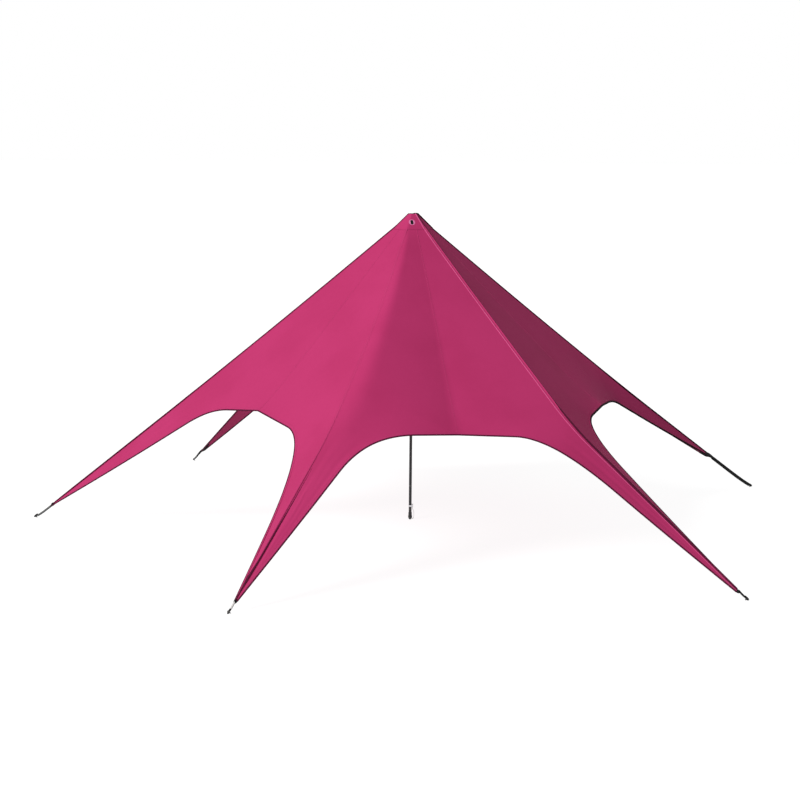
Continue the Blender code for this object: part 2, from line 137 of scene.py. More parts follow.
def capHeight(out):
    return tent["apex"] - (out - tent["crownOut"]) * tent["capSlope"]


# Start, corner and end, with the corner rounded off over a length on each side
class Bend:
    def __init__(self, start, corner, end, along, down):
        self.start, self.corner, self.end = start, corner, end
        before, after = np.linalg.norm(start - corner), np.linalg.norm(end - corner)
        self.enter = corner + (start - corner) / before * along
        self.leave = corner + (end - corner) / after * down
        self.before, self.after = before - along, after - down
        self.turn = (along + down + np.linalg.norm(self.leave - self.enter)) / 2.0
        self.length = self.before + self.turn + self.after
        self.middle = self.before + self.turn / 2.0

    def at(self, distance):
        d = np.atleast_1d(np.asarray(distance, float))[:, None]
        first = self.start + (self.enter - self.start) * d / self.before
        t = np.clip((d - self.before) / self.turn, 0.0, 1.0)
        curve = self.enter * (1 - t) ** 2 + self.corner * 2 * t * (1 - t) + self.leave * t ** 2
        last = self.leave + (self.end - self.leave) * (d - self.before - self.turn) / self.after
        return np.where(d <= self.before, first, np.where(d < self.before + self.turn, curve, last))

    def distanceAtOut(self, out):
        low, high = 0.0, self.length
        for _ in range(40):
            middle = (low + high) / 2.0
            if np.hypot(*self.at(middle)[0, :2]) < out:
                low = middle
            else:
                high = middle
        return low


# A slack ridge bows sideways between the crown and its knuckle, in metres
ridgeBow = {"front_left": 0.035}


class Leg:
    def __init__(self, name):
        pitch = legPitch[name]
        self.name, self.azimuth, self.tip = name, pitch["azimuth"], pitch["tip"]
        self.knuckle = polar(tent["knuckleOut"], self.azimuth + pitch["knuckleTurn"], tent["knuckleUp"])
        ground = polar(tent["pegCircle"] + pitch["reach"], self.azimuth + pitch["tipTurn"], 0.0)
        self.eye = ground + (self.knuckle - ground) * tent["strapEyeUp"] / tent["knuckleUp"]
        self.along = unit(self.eye - self.knuckle)
        self.across = unit(np.cross(self.along, up))
        self.lift = unit(np.cross(self.across, self.along))
        self.tail = pitch["tail"]
        self.droop = pitch.get("droop", 0.0)
        self.fabricEnd = self.eye - self.along * self.tail - up * self.droop
        crown = polar(tent["capOut"], self.azimuth, capHeight(tent["capOut"]))
        self.ridge = Bend(crown, self.knuckle, self.fabricEnd, tent["knuckleBlend"], tent["knuckleBlend"])

    def tipEdge(self, side):
        return self.fabricEnd + self.across * side * self.tip - up * self.tip * tent["tipDrop"]

    def ridgePoint(self, distance):
        share = np.clip(distance / self.ridge.middle, 0.0, 1.0)
        bow = ridgeBow.get(self.name, 0.0) * np.sin(np.pi * share) ** 1.5
        sag = tent["ridgeSag"] * np.sin(np.pi * share)
        sideways = unit(np.cross(polar(1.0, self.azimuth, 0.0), up))
        return self.ridge.at(distance) - up * sag[:, None] - sideways * bow[:, None]


legs = {name: Leg(name) for name in legNames}


# A socket that takes part in sums: each operator adds its Math node
class Wire:
    def __init__(self, finish, socket):
        self.finish, self.socket = finish, socket

    def maths(self, operation, *values):
        return self.finish.node("ShaderNodeMath", {"operation": operation}, dict(enumerate(values)))

    def __add__(self, other):
        return self.maths("ADD", self, other)

    def __sub__(self, other):
        return self.maths("SUBTRACT", self, other)

    def __rsub__(self, other):
        return self.maths("SUBTRACT", other, self)

    def __mul__(self, other):
        return self.maths("MULTIPLY", self, other)

    def __pow__(self, other):
        return self.maths("POWER", self, other)

    def __abs__(self):
        return self.maths("ABSOLUTE", self)

    __radd__, __rmul__ = __add__, __mul__

    def sine(self):
        return self.maths("SINE", self)

    def between(self, low, high):
        return self.finish.node("ShaderNodeMapRange", {"interpolation_type": "SMOOTHSTEP"},
                                {"Value": self, "From Min": low, "From Max": high})


# A procedural material: the shader's own numbers first, then whatever varies over the surface
class Finish:
    def __init__(self, name, numbers):
        self.material = bpy.data.materials.new(name)
        self.material.use_nodes = True
        self.tree = self.material.node_tree
        self.shader = self.tree.nodes["Principled BSDF"]
        for socket, value in numbers.items():
            self.feed(self.shader.inputs[socket], value)

    def feed(self, socket, value):
        if isinstance(value, Wire):
            self.tree.links.new(value.socket, socket)
        else:
            socket.default_value = value

    def node(self, kind, settings, sockets, out=0):
        made = self.tree.nodes.new(kind)
        for name, value in settings.items():
            setattr(made, name, value)
        for name, value in sockets.items():
            self.feed(made.inputs[name], value)
        return Wire(self, made.outputs[out])

    def place(self):
        return self.node("ShaderNodeTexCoord", {}, {}, "Object")

    def grain(self):
        return self.node("ShaderNodeAttribute", {"attribute_name": "grain"}, {}, "Vector")

    def axes(self, vector):
        split = self.node("ShaderNodeSeparateXYZ", {}, {0: vector})
        return [Wire(self, out) for out in split.socket.node.outputs]

    def stretched(self, vector, amounts):
        return self.node("ShaderNodeVectorMath", {"operation": "MULTIPLY"}, {0: vector, 1: amounts})

    def noise(self, vector, scale, detail=3.0, roughness=0.5):
        return self.node("ShaderNodeTexNoise", {}, {"Vector": vector, "Scale": scale, "Detail": detail,
                                                    "Roughness": roughness})

    def mixed(self, factor, first, second):
        return self.node("ShaderNodeMix", {"data_type": "RGBA"}, {0: factor, 6: first, 7: second}, 2)

    def shaded(self, colour, amount):
        return self.node("ShaderNodeMix", {"data_type": "RGBA", "blend_type": "MULTIPLY"},
                         {0: 1.0, 6: colour, 7: self.grey(amount)}, 2)

    def grey(self, amount):
        return self.node("ShaderNodeCombineColor", {}, {0: amount, 1: amount, 2: amount})

    def bumped(self, height, distance, strength=1.0, normal=None):
        sockets = {"Strength": strength, "Distance": distance, "Height": height}
        if normal:
            sockets["Normal"] = normal
        return self.node("ShaderNodeBump", {}, sockets)

    def use(self, **wires):
        names = {"colour": "Base Color", "roughness": "Roughness", "metallic": "Metallic",
                 "normal": "Normal"}
        for key, wire in wires.items():
            self.feed(self.shader.inputs[names[key]], wire)
        return self.material


# Rose cloth: a plain weave along the grain, faint mottling, and dust towards the ground
clothLook = {
    "rose": (0.500, 0.0350, 0.148, 1.0), "deep": (0.470, 0.0310, 0.135, 1.0),
    "dust": (0.42, 0.08, 0.16, 1.0), "dusty": 0.30, "dustUp": (0.05, 0.55),
    "thread": 0.0011, "weaveDepth": 0.00012, "creaseDepth": 0.0016, "mottle": 0.06,
}


def clothFinish(name, rose, deep, creases=1.0):
    look = clothLook
    cloth = Finish(name, {"Specular IOR Level": 0.08, "Sheen Weight": 0.02, "Sheen Roughness": 0.45,
                          "Sheen Tint": (1.0, 0.55, 0.72, 1.0)})
    place, grain = cloth.place(), cloth.grain()
    across, along, _ = cloth.axes(grain)
    height = cloth.axes(place)[2]
    turns = math.pi / look["thread"]
    warp, weft = (across * turns).sine(), (along * turns).sine()
    weave = warp * weft
    broad = cloth.noise(place, 1.3, 3.0)
    fine = cloth.noise(place, 24.0, 4.0, 0.6)
    slub = cloth.noise(cloth.stretched(grain, (900.0, 12.0, 1.0)), 1.0, 2.0)
    colour = cloth.mixed(broad.between(0.35, 0.7), rose, deep)
    dust = (1.0 - height.between(*look["dustUp"])) * fine.between(0.4, 0.75) * look["dusty"]
    colour = cloth.mixed(dust, colour, look["dust"])
    shade = 1.0 - (fine - 0.5) * look["mottle"] - (slub - 0.5) * 0.05 + weave * 0.03
    folds = cloth.noise(cloth.stretched(place, (1.0, 1.0, 0.6)), 3.2, 5.0, 0.55)
    crease = abs(folds - 0.5) ** 0.8
    soft = cloth.bumped(crease, look["creaseDepth"] * creases, 0.7)
    normal = cloth.bumped(weave + slub * 0.6, look["weaveDepth"], 0.6, soft)
    return cloth.use(colour=cloth.shaded(colour, shade), roughness=0.72 + (fine - 0.5) * 0.12, normal=normal)


# Woven webbing: ribs across the band, a herringbone of threads, and pale fuzz along the edges
def webbingFinish(name, colour, worn, fuzz=0.5):
    web = Finish(name, {"Specular IOR Level": 0.12, "Sheen Weight": 0.02, "Sheen Roughness": 0.5})
    grain = web.grain()
    across, along, edge = web.axes(grain)
    slant = abs(across) * 1.4
    ribs = ((along + slant) * (2.0 * math.pi / 0.0026)).sine()
    threads = (across * (2.0 * math.pi / 0.0021)).sine()
    speckle = web.noise(web.place(), 160.0, 3.0, 0.7)
    broad = web.noise(web.place(), 9.0, 3.0)
    rub = (edge.between(0.55, 1.0) * 0.6 + speckle.between(0.55, 0.85) * 0.5) * fuzz
    shade = 1.0 + ribs * 0.10 + threads * 0.05 + (broad - 0.5) * 0.3
    return web.use(colour=web.shaded(web.mixed(rub, colour, worn), shade),
                   roughness=0.70 + (speckle - 0.5) * 0.2,
                   normal=web.bumped(ribs * 0.7 + threads * 0.4 + speckle * 0.4, 0.00035, 0.8))


# Twisted sewing thread
def threadFinish(name, colour):
    thread = Finish(name, {"Specular IOR Level": 0.4, "Sheen Weight": 0.1})
    twist = thread.noise(thread.place(), 700.0, 2.0)
    return thread.use(colour=thread.shaded(colour, 0.8 + twist * 0.4), roughness=0.45 + twist * 0.2,
                      normal=thread.bumped(twist, 0.0002, 0.6))


# Paint over steel, worn through to bare metal where handling rubs it
def paintFinish(name, colour, bare, gloss, wear, grime=0.4):
    paint = Finish(name, {"Specular IOR Level": 0.5})
    place = paint.place()
    peel = paint.noise(place, 420.0, 2.0)
    patch = paint.noise(place, 34.0, 5.0, 0.65)
    scratch = paint.noise(paint.stretched(place, (60.0, 60.0, 2.5)), 6.0, 3.0)
    height = paint.axes(place)[2]
    rubbed = (patch.between(0.60, 0.66) + scratch.between(0.70, 0.74) * 0.6) * wear
    dust = (1.0 - height.between(0.0, 0.22)) * patch.between(0.35, 0.7) * grime
    tone = paint.mixed(dust, paint.shaded(colour, 0.85 + patch * 0.3), (0.20, 0.17, 0.14, 1.0))
    return paint.use(colour=paint.mixed(rubbed, tone, bare), metallic=rubbed * 0.9,
                     roughness=gloss + (peel - 0.5) * 0.15 + dust * 0.3,
                     normal=paint.bumped(peel * 0.5 - rubbed * 0.6, 0.0003, 0.5))


# Zinc plate: spangled, dull in patches, with fine wear scratches
def zincFinish(name):
    zinc = Finish(name, {"Specular IOR Level": 0.5})
    place = zinc.place()
    spangle = zinc.node("ShaderNodeTexVoronoi", {"feature": "F1"}, {"Vector": place, "Scale": 260.0}, "Color")
    tone = zinc.axes(spangle)[0]
    patch = zinc.noise(place, 45.0, 4.0, 0.6)
    scratch = zinc.noise(zinc.stretched(place, (400.0, 40.0, 40.0)), 1.0, 3.0)
    tarnish = patch.between(0.52, 0.75)
    colour = zinc.mixed(tarnish, (0.66, 0.66, 0.68, 1.0), (0.40, 0.39, 0.38, 1.0))
    return zinc.use(colour=zinc.shaded(colour, 0.88 + tone * 0.2), metallic=0.95 - tarnish * 0.35,
                    roughness=0.28 + tone * 0.10 + tarnish * 0.25,
                    normal=zinc.bumped(tone * 0.3 + scratch * 0.7, 0.0002, 0.4))


finishes = {
    "rose": clothFinish("rose_canopy_cloth", clothLook["rose"], clothLook["deep"]),
    # The underside's paler rose is painted light, standing in for daylight that comes through the cloth
    "underside": clothFinish("rose_cloth_underside_painted_light", (0.80, 0.075, 0.26, 1.0), (0.76, 0.07, 0.24, 1.0)),
    "hem": clothFinish("rose_hem_cloth", (0.50, 0.037, 0.152, 1.0), (0.46, 0.033, 0.138, 1.0), 0.3),
    # Pale rose piping is a painted highlight: the lit side of the front right ridge's seam
    "pale": clothFinish("pale_rose_piping_painted_highlight", (0.66, 0.100, 0.270, 1.0), (0.62, 0.090, 0.250, 1.0), 0.2),
    "patch": clothFinish("pale_eyelet_patch", (0.78, 0.230, 0.460, 1.0), (0.72, 0.190, 0.400, 1.0), 0.2),
    "binding": clothFinish("maroon_binding", (0.105, 0.0070, 0.035, 1.0), (0.085, 0.0060, 0.029, 1.0), 0.3),
    # Near-black maroon: the crown's webbing top, and painted shade on the right ridge's piping and on the
    # right front panel's edge
    "inkAndShade": clothFinish("black_maroon_webbing_and_painted_shade", (0.014, 0.002, 0.006, 1.0), (0.011, 0.002, 0.005, 1.0), 0.3),
    "black": webbingFinish("black_webbing", (0.004, 0.004, 0.0045, 1.0), (0.022, 0.022, 0.023, 1.0)),
    "grey": webbingFinish("grey_webbing", (0.68, 0.66, 0.65, 1.0), (0.76, 0.74, 0.72, 1.0)),
    "dim": webbingFinish("dim_grey_webbing", (0.13, 0.13, 0.13, 1.0), (0.22, 0.22, 0.22, 1.0)),
    "roseThread": threadFinish("rose_thread", (0.50, 0.038, 0.15, 1.0)),
    "blackThread": threadFinish("black_thread", (0.02, 0.02, 0.021, 1.0)),
    "paleThread": threadFinish("pale_thread", (0.55, 0.52, 0.50, 1.0)),
    "mast": paintFinish("black_powder_coat", (0.014, 0.014, 0.016, 1.0), (0.42, 0.41, 0.40, 1.0), 0.42, 0.5),
    "fitting": paintFinish("black_fitting_paint", (0.015, 0.015, 0.017, 1.0), (0.36, 0.35, 0.34, 1.0),
                           0.38, 0.6, 0.15),
    "zinc": zincFinish("zinc_plate"),
}
print("finishes made:", len(finishes))


# Points and faces gathered for one piece, with a grain vector at each point
class Shape:
    def __init__(self):
        self.points, self.faces, self.grain, self.count = [], [], [], 0

    def add(self, points, faces, grain=None):
        points = np.asarray(points, float).reshape(-1, 3)
        self.points.append(points)
        self.grain.append(points if grain is None else np.asarray(grain, float).reshape(-1, 3))
        self.faces += [tuple(corner + self.count for corner in face) for face in faces]
        self.count += len(points)

    # A closed section carried along a path; widths and heights scale it from place to place
    def sweep(self, path, side, lift, section, widths=1.0, heights=1.0):
        path, section = np.asarray(path, float), np.asarray(section, float)
        side, lift = (np.broadcast_to(axis, path.shape) for axis in (side, lift))
        steps, corners = len(path), len(section)
        widths, heights = (np.broadcast_to(value, steps)[:, None, None] for value in (widths, heights))
        x, y = section[None, :, 0, None] * widths, section[None, :, 1, None] * heights
        points = path[:, None, :] + side[:, None, :] * x + lift[:, None, :] * y
        reach = max(np.abs(section[:, 0]).max(), 1e-6)
        grain = np.zeros((steps, corners, 3))
        grain[..., 0] = x[..., 0]
        grain[..., 1] = runAlong(path)[:, None]
        grain[..., 2] = np.abs(section[:, 0])[None] / reach
        self.add(points, ringFaces(steps, corners) + endFaces(steps, corners), grain)

    # Stitches laid end to end along a line, each a slim block that dips at its ends
    def stitches(self, path, side, lift, pitch=0.014, size=(0.010, 0.0016, 0.0012)):
        path = np.asarray(path, float)
        side, lift = (np.broadcast_to(axis, path.shape) for axis in (side, lift))
        run = runAlong(path)
        if run[-1] < pitch:
            return
        places = np.arange(pitch / 2, run[-1], pitch)
        middle, side, lift = (resampled(values, run, places) for values in (path, side, lift))
        ahead = unit(resampled(path, run, places + 0.002) - middle)
        ahead[-1] = ahead[-2] if len(ahead) > 1 else ahead[-1]
        side, lift = unit(side), unit(lift)
        long, wide, high = size
        corners = [(-long / 2, -wide / 2, -high), (-long / 2, wide / 2, -high), (-long / 4, 0.0, high / 2),
                   (long / 4, 0.0, high / 2), (long / 2, -wide / 2, -high), (long / 2, wide / 2, -high)]
        points = np.stack([middle + ahead * a + side * b + lift * c for a, b, c in corners], 1)
        pattern = ((0, 1, 2), (4, 3, 5), (0, 2, 3, 4), (1, 5, 3, 2), (0, 4, 5, 1))
        faces = [tuple(corner + 6 * i for corner in face) for i in range(len(places)) for face in pattern]
        self.add(points, faces)

    def piece(self, name, finish, slot=None, sharp=40.0, replaces=(), closed=True):
        mesh = bpy.data.meshes.new(name)
        mesh.from_pydata(np.concatenate(self.points).tolist(), [], self.faces)
        if closed:  # every closed form's faces turn outwards
            bm = bmesh.new()
            bm.from_mesh(mesh)
            bmesh.ops.recalc_face_normals(bm, faces=bm.faces[:])
            bm.to_mesh(mesh)
            bm.free()
        grain = mesh.attributes.new("grain", "FLOAT_VECTOR", "POINT")
        grain.data.foreach_set("vector", np.concatenate(self.grain).astype(np.float32).ravel())
        mesh.shade_smooth()
        mesh.set_sharp_from_angle(angle=math.radians(sharp))
        mesh.materials.append(finishes[finish])
        piece = bpy.data.objects.new(name, mesh)
        bpy.context.scene.collection.objects.link(piece)
        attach(piece, "root")
        if replaces:
            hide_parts(*replaces)
        return piece


# Canopy: twelve gores in one sheet, from under the crown cap to the six leg tips
canopyLook = {
    "roofRows": 84, "valanceRows": 26, "legRows": 74, "columns": 20, "firstColumn": 0.012,
    "startShare": -0.0203, "thick": 0.0012, "settling": 420,
    "foldStart": 3.2, "foldRamp": 0.7, "foldHigh": 0.010, "foldWide": 0.3,
    "flat": (12.0, 10.8), "area": 40.0,  # tip to tip along the ridges, and cloth with its hems
}
# What bends each panel, as curvature per metre: the lift that crowns its gores, and how hard its
# middle seam pulls it into a valley, all down the roof and towards the seam's foot
evenPull = (-0.02, 0.06, 0.04)
panelPull = {"front": (0.12, 0.0, 0.28), "right_front": evenPull, "right_back": evenPull, "back": evenPull,
             "left_back": evenPull, "left_front": (0.0, 0.05, 0.06)}
# How the slack front left gore rounds off its ridge: distance down the ridge, reach, slope
slackRidge = {"down": [0.0, 0.16, 0.5, 1.2, 2.1, 2.6, 3.05, 3.5, 4.0],
              "reach": [0.04, 0.07, 0.12, 0.18, 0.25, 0.29, 0.30, 0.30, 0.20],
              "slope": [0.1, 0.60, 0.76, 0.80, 0.78, 0.70, 0.50, 0.25, 0.0]}
# The trough right of that leg's ridge: where it starts, its distance from the ridge, and depth
legTrough = {"start": (3.5, 4.3), "side": 0.031, "depth": 0.0055}
# Small puckers: leg, distance down its ridge, sideways centre (right of the ridge is positive),
# half length, half width, wavelength, depth
puckers = [
    ("front_left", 1.38, 0.07, 0.16, 0.05, 0.060, 0.0014),
    ("front_left", 1.62, 0.03, 0.12, 0.05, 0.065, 0.0010),
    ("front_left", 1.92, -0.01, 0.17, 0.09, 0.068, 0.0020),
    ("front_left", 2.62, -0.04, 0.12, 0.05, 0.055, 0.0012),
    ("front_left", 4.30, 0.10, 0.28, 0.07, 0.050, 0.0020),
    ("front_right", 1.60, -0.10, 0.16, 0.06, 0.070, 0.0012),
    ("front_right", 3.10, 0.10, 0.30, 0.07, 0.080, 0.0014),
    ("right", 2.9, -0.12, 0.25, 0.08, 0.080, 0.0012),
    ("left", 3.0, 0.12, 0.30, 0.08, 0.075, 0.0012),
    ("left", 4.1, -0.06, 0.30, 0.05, 0.050, 0.0012),
]


# One gore: rows from under the cap down to the leg's tip, columns from its ridge to its other side
def goreGrid(panelIndex, side):
    look = canopyLook
    hang = panelHang[panelNames[panelIndex]]
    azimuth = panelIndex * 60.0
    leg = legs[legNames[(panelIndex + (side > 0)) % 6]]
    turn, rise, outwards, along, down = hang["left"] if side < 0 else hang["right"]
    corner = polar(tent["cornerOut"] + outwards, azimuth + side * (tent["cornerTurn"] + turn),
                   tent["cornerUp"] + rise)
    crownMiddle = polar(tent["capOut"] * halfPanelCos, azimuth, capHeight(tent["capOut"]))
    seamFoot = polar(tent["seamFootOut"], azimuth, tent["seamFootUp"])
    seamFoot = seamFoot + unit(crownMiddle - seamFoot) * hang["drawnUp"]
    edge = Bend(seamFoot, corner, leg.tipEdge(side), along, down)
    roofEnd = leg.ridge.distanceAtOut(tent["roofRidgeOut"])
    cornerEnd = leg.ridge.distanceAtOut(tent["cornerRidgeOut"])
    roof = look["startShare"] + (1.0 - look["startShare"]) * np.arange(look["roofRows"]) / look["roofRows"]
    valance = np.arange(look["valanceRows"]) / look["valanceRows"]
    flap = np.arange(look["legRows"] + 1) / look["legRows"]
    low = np.concatenate((crownMiddle + (seamFoot - crownMiddle) * roof[:, None],
                          edge.at(valance * edge.middle),
                          edge.at(edge.middle + flap * (edge.length - edge.middle))))
    reach = np.concatenate((roof * roofEnd, roofEnd + valance * (cornerEnd - roofEnd),
                            cornerEnd + flap * (leg.ridge.length - cornerEnd)))
    high = leg.ridgePoint(reach)
    low[-len(flap):, 2] -= tent["flapSag"] * np.sin(np.pi * flap)
    width = np.linalg.norm(high - low, axis=1)
    power = np.maximum(np.log(look["firstColumn"] / width) / math.log(1.0 / look["columns"]), 1.0)
    share = np.linspace(1.0, 0.0, look["columns"] + 1)[None] ** power[:, None]
    points = high[:, None] + (low - high)[:, None] * share[..., None]
    roofShare = np.concatenate((roof, np.ones(look["valanceRows"] + len(flap))))
    return points, share * width[:, None], reach, width, roofShare


# The cloth settles like a taut film: every free point moves until its neighbours' pulls balance
# the push on it (conjugate gradients over each edge's cotangent weight)
def settled(points, quads, held, push, rounds):
    triangles = np.concatenate([quads[:, pick] for pick in ((0, 1, 2), (0, 2, 3), (0, 1, 3), (1, 2, 3))])
    ends, pulls = [], []
    for k in range(3):
        a, b, c = (points[triangles[:, (k + j) % 3]] for j in range(3))
        u, v = b - a, c - a
        pulls.append((u * v).sum(1) / np.maximum(np.linalg.norm(np.cross(u, v), axis=1), 1e-7) / 4.0)
        ends.append(np.sort(triangles[:, [(k + 1) % 3, (k + 2) % 3]], axis=1))
    count = len(points)
    ends, pulls = np.concatenate(ends), np.concatenate(pulls)
    codes, places = np.unique(ends[:, 0] * count + ends[:, 1], return_inverse=True)
    pulls = np.bincount(places, pulls)
    one, other = codes // count, codes % count
    whole = np.maximum(np.bincount(one, pulls, count) + np.bincount(other, pulls, count), 1e-6)[:, None]

    def balance(values):
        total = values * whole
        for k in range(3):
            total[:, k] -= (np.bincount(one, pulls * values[other, k], count)
                            + np.bincount(other, pulls * values[one, k], count))
        total[held] = 0.0
        return total

    left = push - balance(points)
    left[held] = 0.0
    moved = np.zeros_like(points)
    step = left / whole
    energy = (left * step).sum(0)
    for _ in range(rounds):
        drag = balance(step)
        amount = energy / np.maximum((step * drag).sum(0), 1e-30)
        moved += step * amount
        left -= drag * amount
        fresh = (left * left / whole).sum(0)
        step = left / whole + step * (fresh / np.maximum(energy, 1e-30))
        energy = fresh
    return points + moved


# Slack, folds and puckers, as heights above the settled cloth
def canopyDetail(lateral, reach, width):
    look = canopyLook
    lift = np.zeros(lateral.shape)
    for gore in range(12):
        side = -1.0 if gore % 2 == 0 else 1.0
        leg = legNames[(gore // 2 + (side > 0)) % 6]
        x, d, w = lateral[gore], reach[gore][:, None], width[gore][:, None]
        share = x / w
        hold = smooth(share, 0.0, 0.12) * smooth(1.0 - share, 0.0, 0.12)
        if gore == 0:  # the slack ridge beside the front panel
            b = np.minimum(np.interp(d, slackRidge["down"], slackRidge["reach"]), w * 0.6)
            u = np.clip(x / b, 0.0, 1.0)
            slope = np.interp(d, slackRidge["down"], slackRidge["slope"])
            lift[gore] += slope * b * (u - u ** 3 + u ** 4 / 2 - share / 2)
            centre = np.minimum(legTrough["side"], w * 0.33)
            trough = np.exp(-((x - centre) / (centre * 0.40)) ** 2)
            narrowing = np.clip(w / 0.12, 0.3, 1.0)
            lift[gore] -= legTrough["depth"] * trough * smooth(d, *legTrough["start"]) * narrowing
        # Long folds that run together towards the tip of each leg
        phase = 1.7 * gore
        wave = np.sin(share * 11.0 + phase + d * 0.7) * 0.6 + np.sin(share * 23.0 + phase * 2.3) * 0.4
        low = smooth(d, look["foldStart"], look["foldStart"] + look["foldRamp"])
        lift[gore] += wave * hold * look["foldHigh"] * np.minimum(w, look["foldWide"]) * low
        for name, place, offset, long, wide, length, depth in puckers:
            if name == leg:
                offset = offset * -side  # right of the ridge is the left gore's own way across
                ripple = np.cos((x - offset) * 2 * math.pi / length)
                window = np.exp(-((x - offset) / wide) ** 2 - ((d - place) / long) ** 2)
                lift[gore] += depth * ripple * window * smooth(x, 0.0, 0.015)
    return lift


# Each point's normal, and the cloth's area round it
def cornerNormals(points, quads):
    a, b, c, d = (points[quads[:, k]] for k in range(4))
    facing = np.cross(c - a, d - b)
    corners, count = quads.ravel(), len(points)
    total = np.stack([np.bincount(corners, np.repeat(facing[:, k], 4), count) for k in range(3)], 1)
    area = np.bincount(corners, np.repeat(np.linalg.norm(facing, axis=1) / 8, 4), count)
    return unit(total), area


def makeCanopy():
    look = canopyLook
    parts = [goreGrid(gore // 2, -1.0 if gore % 2 == 0 else 1.0) for gore in range(12)]
    grids, lateral, reach, width, roofShare = (np.stack([part[k] for part in parts]) for k in range(5))
    keys = np.round(grids.reshape(-1, 3) / 2e-5).astype(np.int64)
    _, first, ids = np.unique(keys, axis=0, return_index=True, return_inverse=True)
    ids = ids.reshape(grids.shape[:3])
    points = grids.reshape(-1, 3)[first]
    quads = []
    for gore in range(12):
        a, b = ids[gore, :-1, :-1], ids[gore, :-1, 1:]
        c, d = ids[gore, 1:, 1:], ids[gore, 1:, :-1]
        quads.append(np.stack((a, d, c, b) if gore % 2 else (a, b, c, d), -1).reshape(-1, 4))
    quads = np.concatenate(quads)
    roofRows = look["roofRows"]
    held = np.zeros(len(points), bool)
    for line in (ids[:, :, -1], ids[:, 0], ids[:, -1], ids[:, roofRows:, 0]):
        held[line.ravel()] = True
    _, area = cornerNormals(points, quads)
    push = np.zeros_like(points)
    for index, name in enumerate(panelNames):
        crowning, whole, foot = panelPull[name]
        roof = np.unique(ids[2 * index:2 * index + 2, :roofRows])
        push[roof, 2] = area[roof] * crowning
        line, share = ids[2 * index, :roofRows, 0], roofShare[2 * index, :roofRows]
        spacing = np.linalg.norm(np.gradient(points[line], axis=0), axis=1)
        pull = whole * np.sin(np.pi * np.clip(share, 0, 1)) + foot * np.clip((share - 0.34) / 0.5, 0, 1)
        push[line, 2] -= pull * spacing
    points = settled(points, quads, held, push, look["settling"])
    normal, _ = cornerNormals(points, quads)
    lift = canopyDetail(lateral, reach, width)
    height = np.zeros(len(points))
    height[ids.ravel()] = lift.ravel()
    points = points + normal * height[:, None]
    run = np.stack([runAlong(grids[gore, :, 0]) for gore in range(12)])
    grain = np.zeros(grids.shape)
    grain[..., 0] = (width[:, :, None] - lateral) * np.where(np.arange(12) % 2, 1.0, -1.0)[:, None, None]
    grain[..., 1] = run[:, :, None]
    shape = Shape()
    shape.add(points, quads.tolist(), grain.reshape(-1, 3)[first])
    nodes = [panel + "_gore_" + hand for panel in panelNames for hand in ("left", "right")]
    canopy = shape.piece("canopy", "rose", "canopy_cloth", 24.0, nodes, closed=False)
    solid = canopy.modifiers.new("cloth", "SOLIDIFY")
    solid.thickness, solid.offset = look["thick"], 0.0
    # The inner faces take the paler rose: painted light for daylight through the cloth
    canopy.data.materials.append(finishes["underside"])  # paler beneath, as daylight comes through
    solid.material_offset = 1
    normal, _ = cornerNormals(points, quads)
    return canopy, points[ids], normal[ids], width, lateral


canopy, grids, normals, goreWidth, goreLateral = makeCanopy()
roofRows = canopyLook["roofRows"]
print("canopy:", len(canopy.data.vertices), "points,", len(canopy.data.polygons), "faces")


# Hems, seams and ridges, all laid on the canopy's own surface
seamLook = {
    "hem": 0.046, "hemThick": 0.0016, "binding": 0.014, "bindingThick": 0.0100,
    "tape": 0.016, "tapeThick": 0.0018, "welt": 0.020, "weltHigh": 0.008, "clear": 0.0006,
    "stitchLift": 0.0006, "hemStitches": (0.005, 0.012), "ridgeStitches": (0.014, 0.020),
    # The right front panel's binding is widened as painted shade along its shaded edge
    "shadeBindingWiden": {"right_front": 1.5},
}
# Piping down the ridges: leg, finish, and points of distance down the ridge, shift to its right and
# half width
ridgeLines = [
    ("front_left", "binding", [(3.95, 0.031, 0.001), (4.3, 0.028, 0.0035), (4.9, 0.016, 0.0075),
                               (5.15, 0.010, 0.010), (5.27, 0.005, 0.012), (5.37, 0.001, 0.014),
                               (5.46, -0.004, 0.015), (5.55, -0.006, 0.012)]),
    # The pale piping left of the front right ridge is a painted highlight along the lit side of its seam
    ("front_right", "pale", [(0.0, -0.022, 0.0090), (0.4, -0.030, 0.0070), (3.0, -0.034, 0.0060),
                             (3.6, -0.044, 0.0060), (5.2, -0.030, 0.0040)]),
    # The dark piping right of the front right ridge is painted shade along the shaded side of the same seam
    ("front_right", "binding", [(0.0, 0.012, 0.0095), (1.4, 0.008, 0.0085), (3.0, 0.006, 0.0090),
                                (3.6, -0.004, 0.0150), (4.4, -0.004, 0.0190), (5.2, -0.002, 0.0170)]),
    # The near-black piping down the right ridge is painted shade: darker than the maroon piping on the other
    # ridges because this side lies in shade
    ("right", "inkAndShade", [(0.0, -0.008, 0.0150), (1.4, -0.008, 0.0140), (3.0, -0.008, 0.0140),
                      (3.5, -0.008, 0.0190), (5.4, 0.0, 0.0150)]),
    ("back_right", "binding", [(0.0, 0.0, 0.0080), (3.5, 0.0, 0.0080), (4.0, 0.0, 0.0120)]),
    ("back_left", "binding", [(0.0, 0.0, 0.0080), (3.5, 0.0, 0.0080), (4.2, 0.0, 0.0170)]),
    ("left", "binding", [(0.0, 0.0, 0.0100), (3.3, 0.0, 0.0100), (4.2, 0.0, 0.0155)]),
]
pipingFinishes = ("binding", "inkAndShade", "pale")
round8 = roundSection(8)
arch = [(-1.0, -0.25), (-0.85, 0.30), (-0.5, 0.78), (0.0, 1.0), (0.5, 0.78), (0.85, 0.30), (1.0, -0.25)]


# A line along a panel's scalloped edge, from its left leg's tip to its right leg's
def alongEdge(values, panel, column):
    left, right = values[2 * panel], values[2 * panel + 1]
    return np.concatenate((left[:roofRows:-1, column], right[roofRows:, column]))


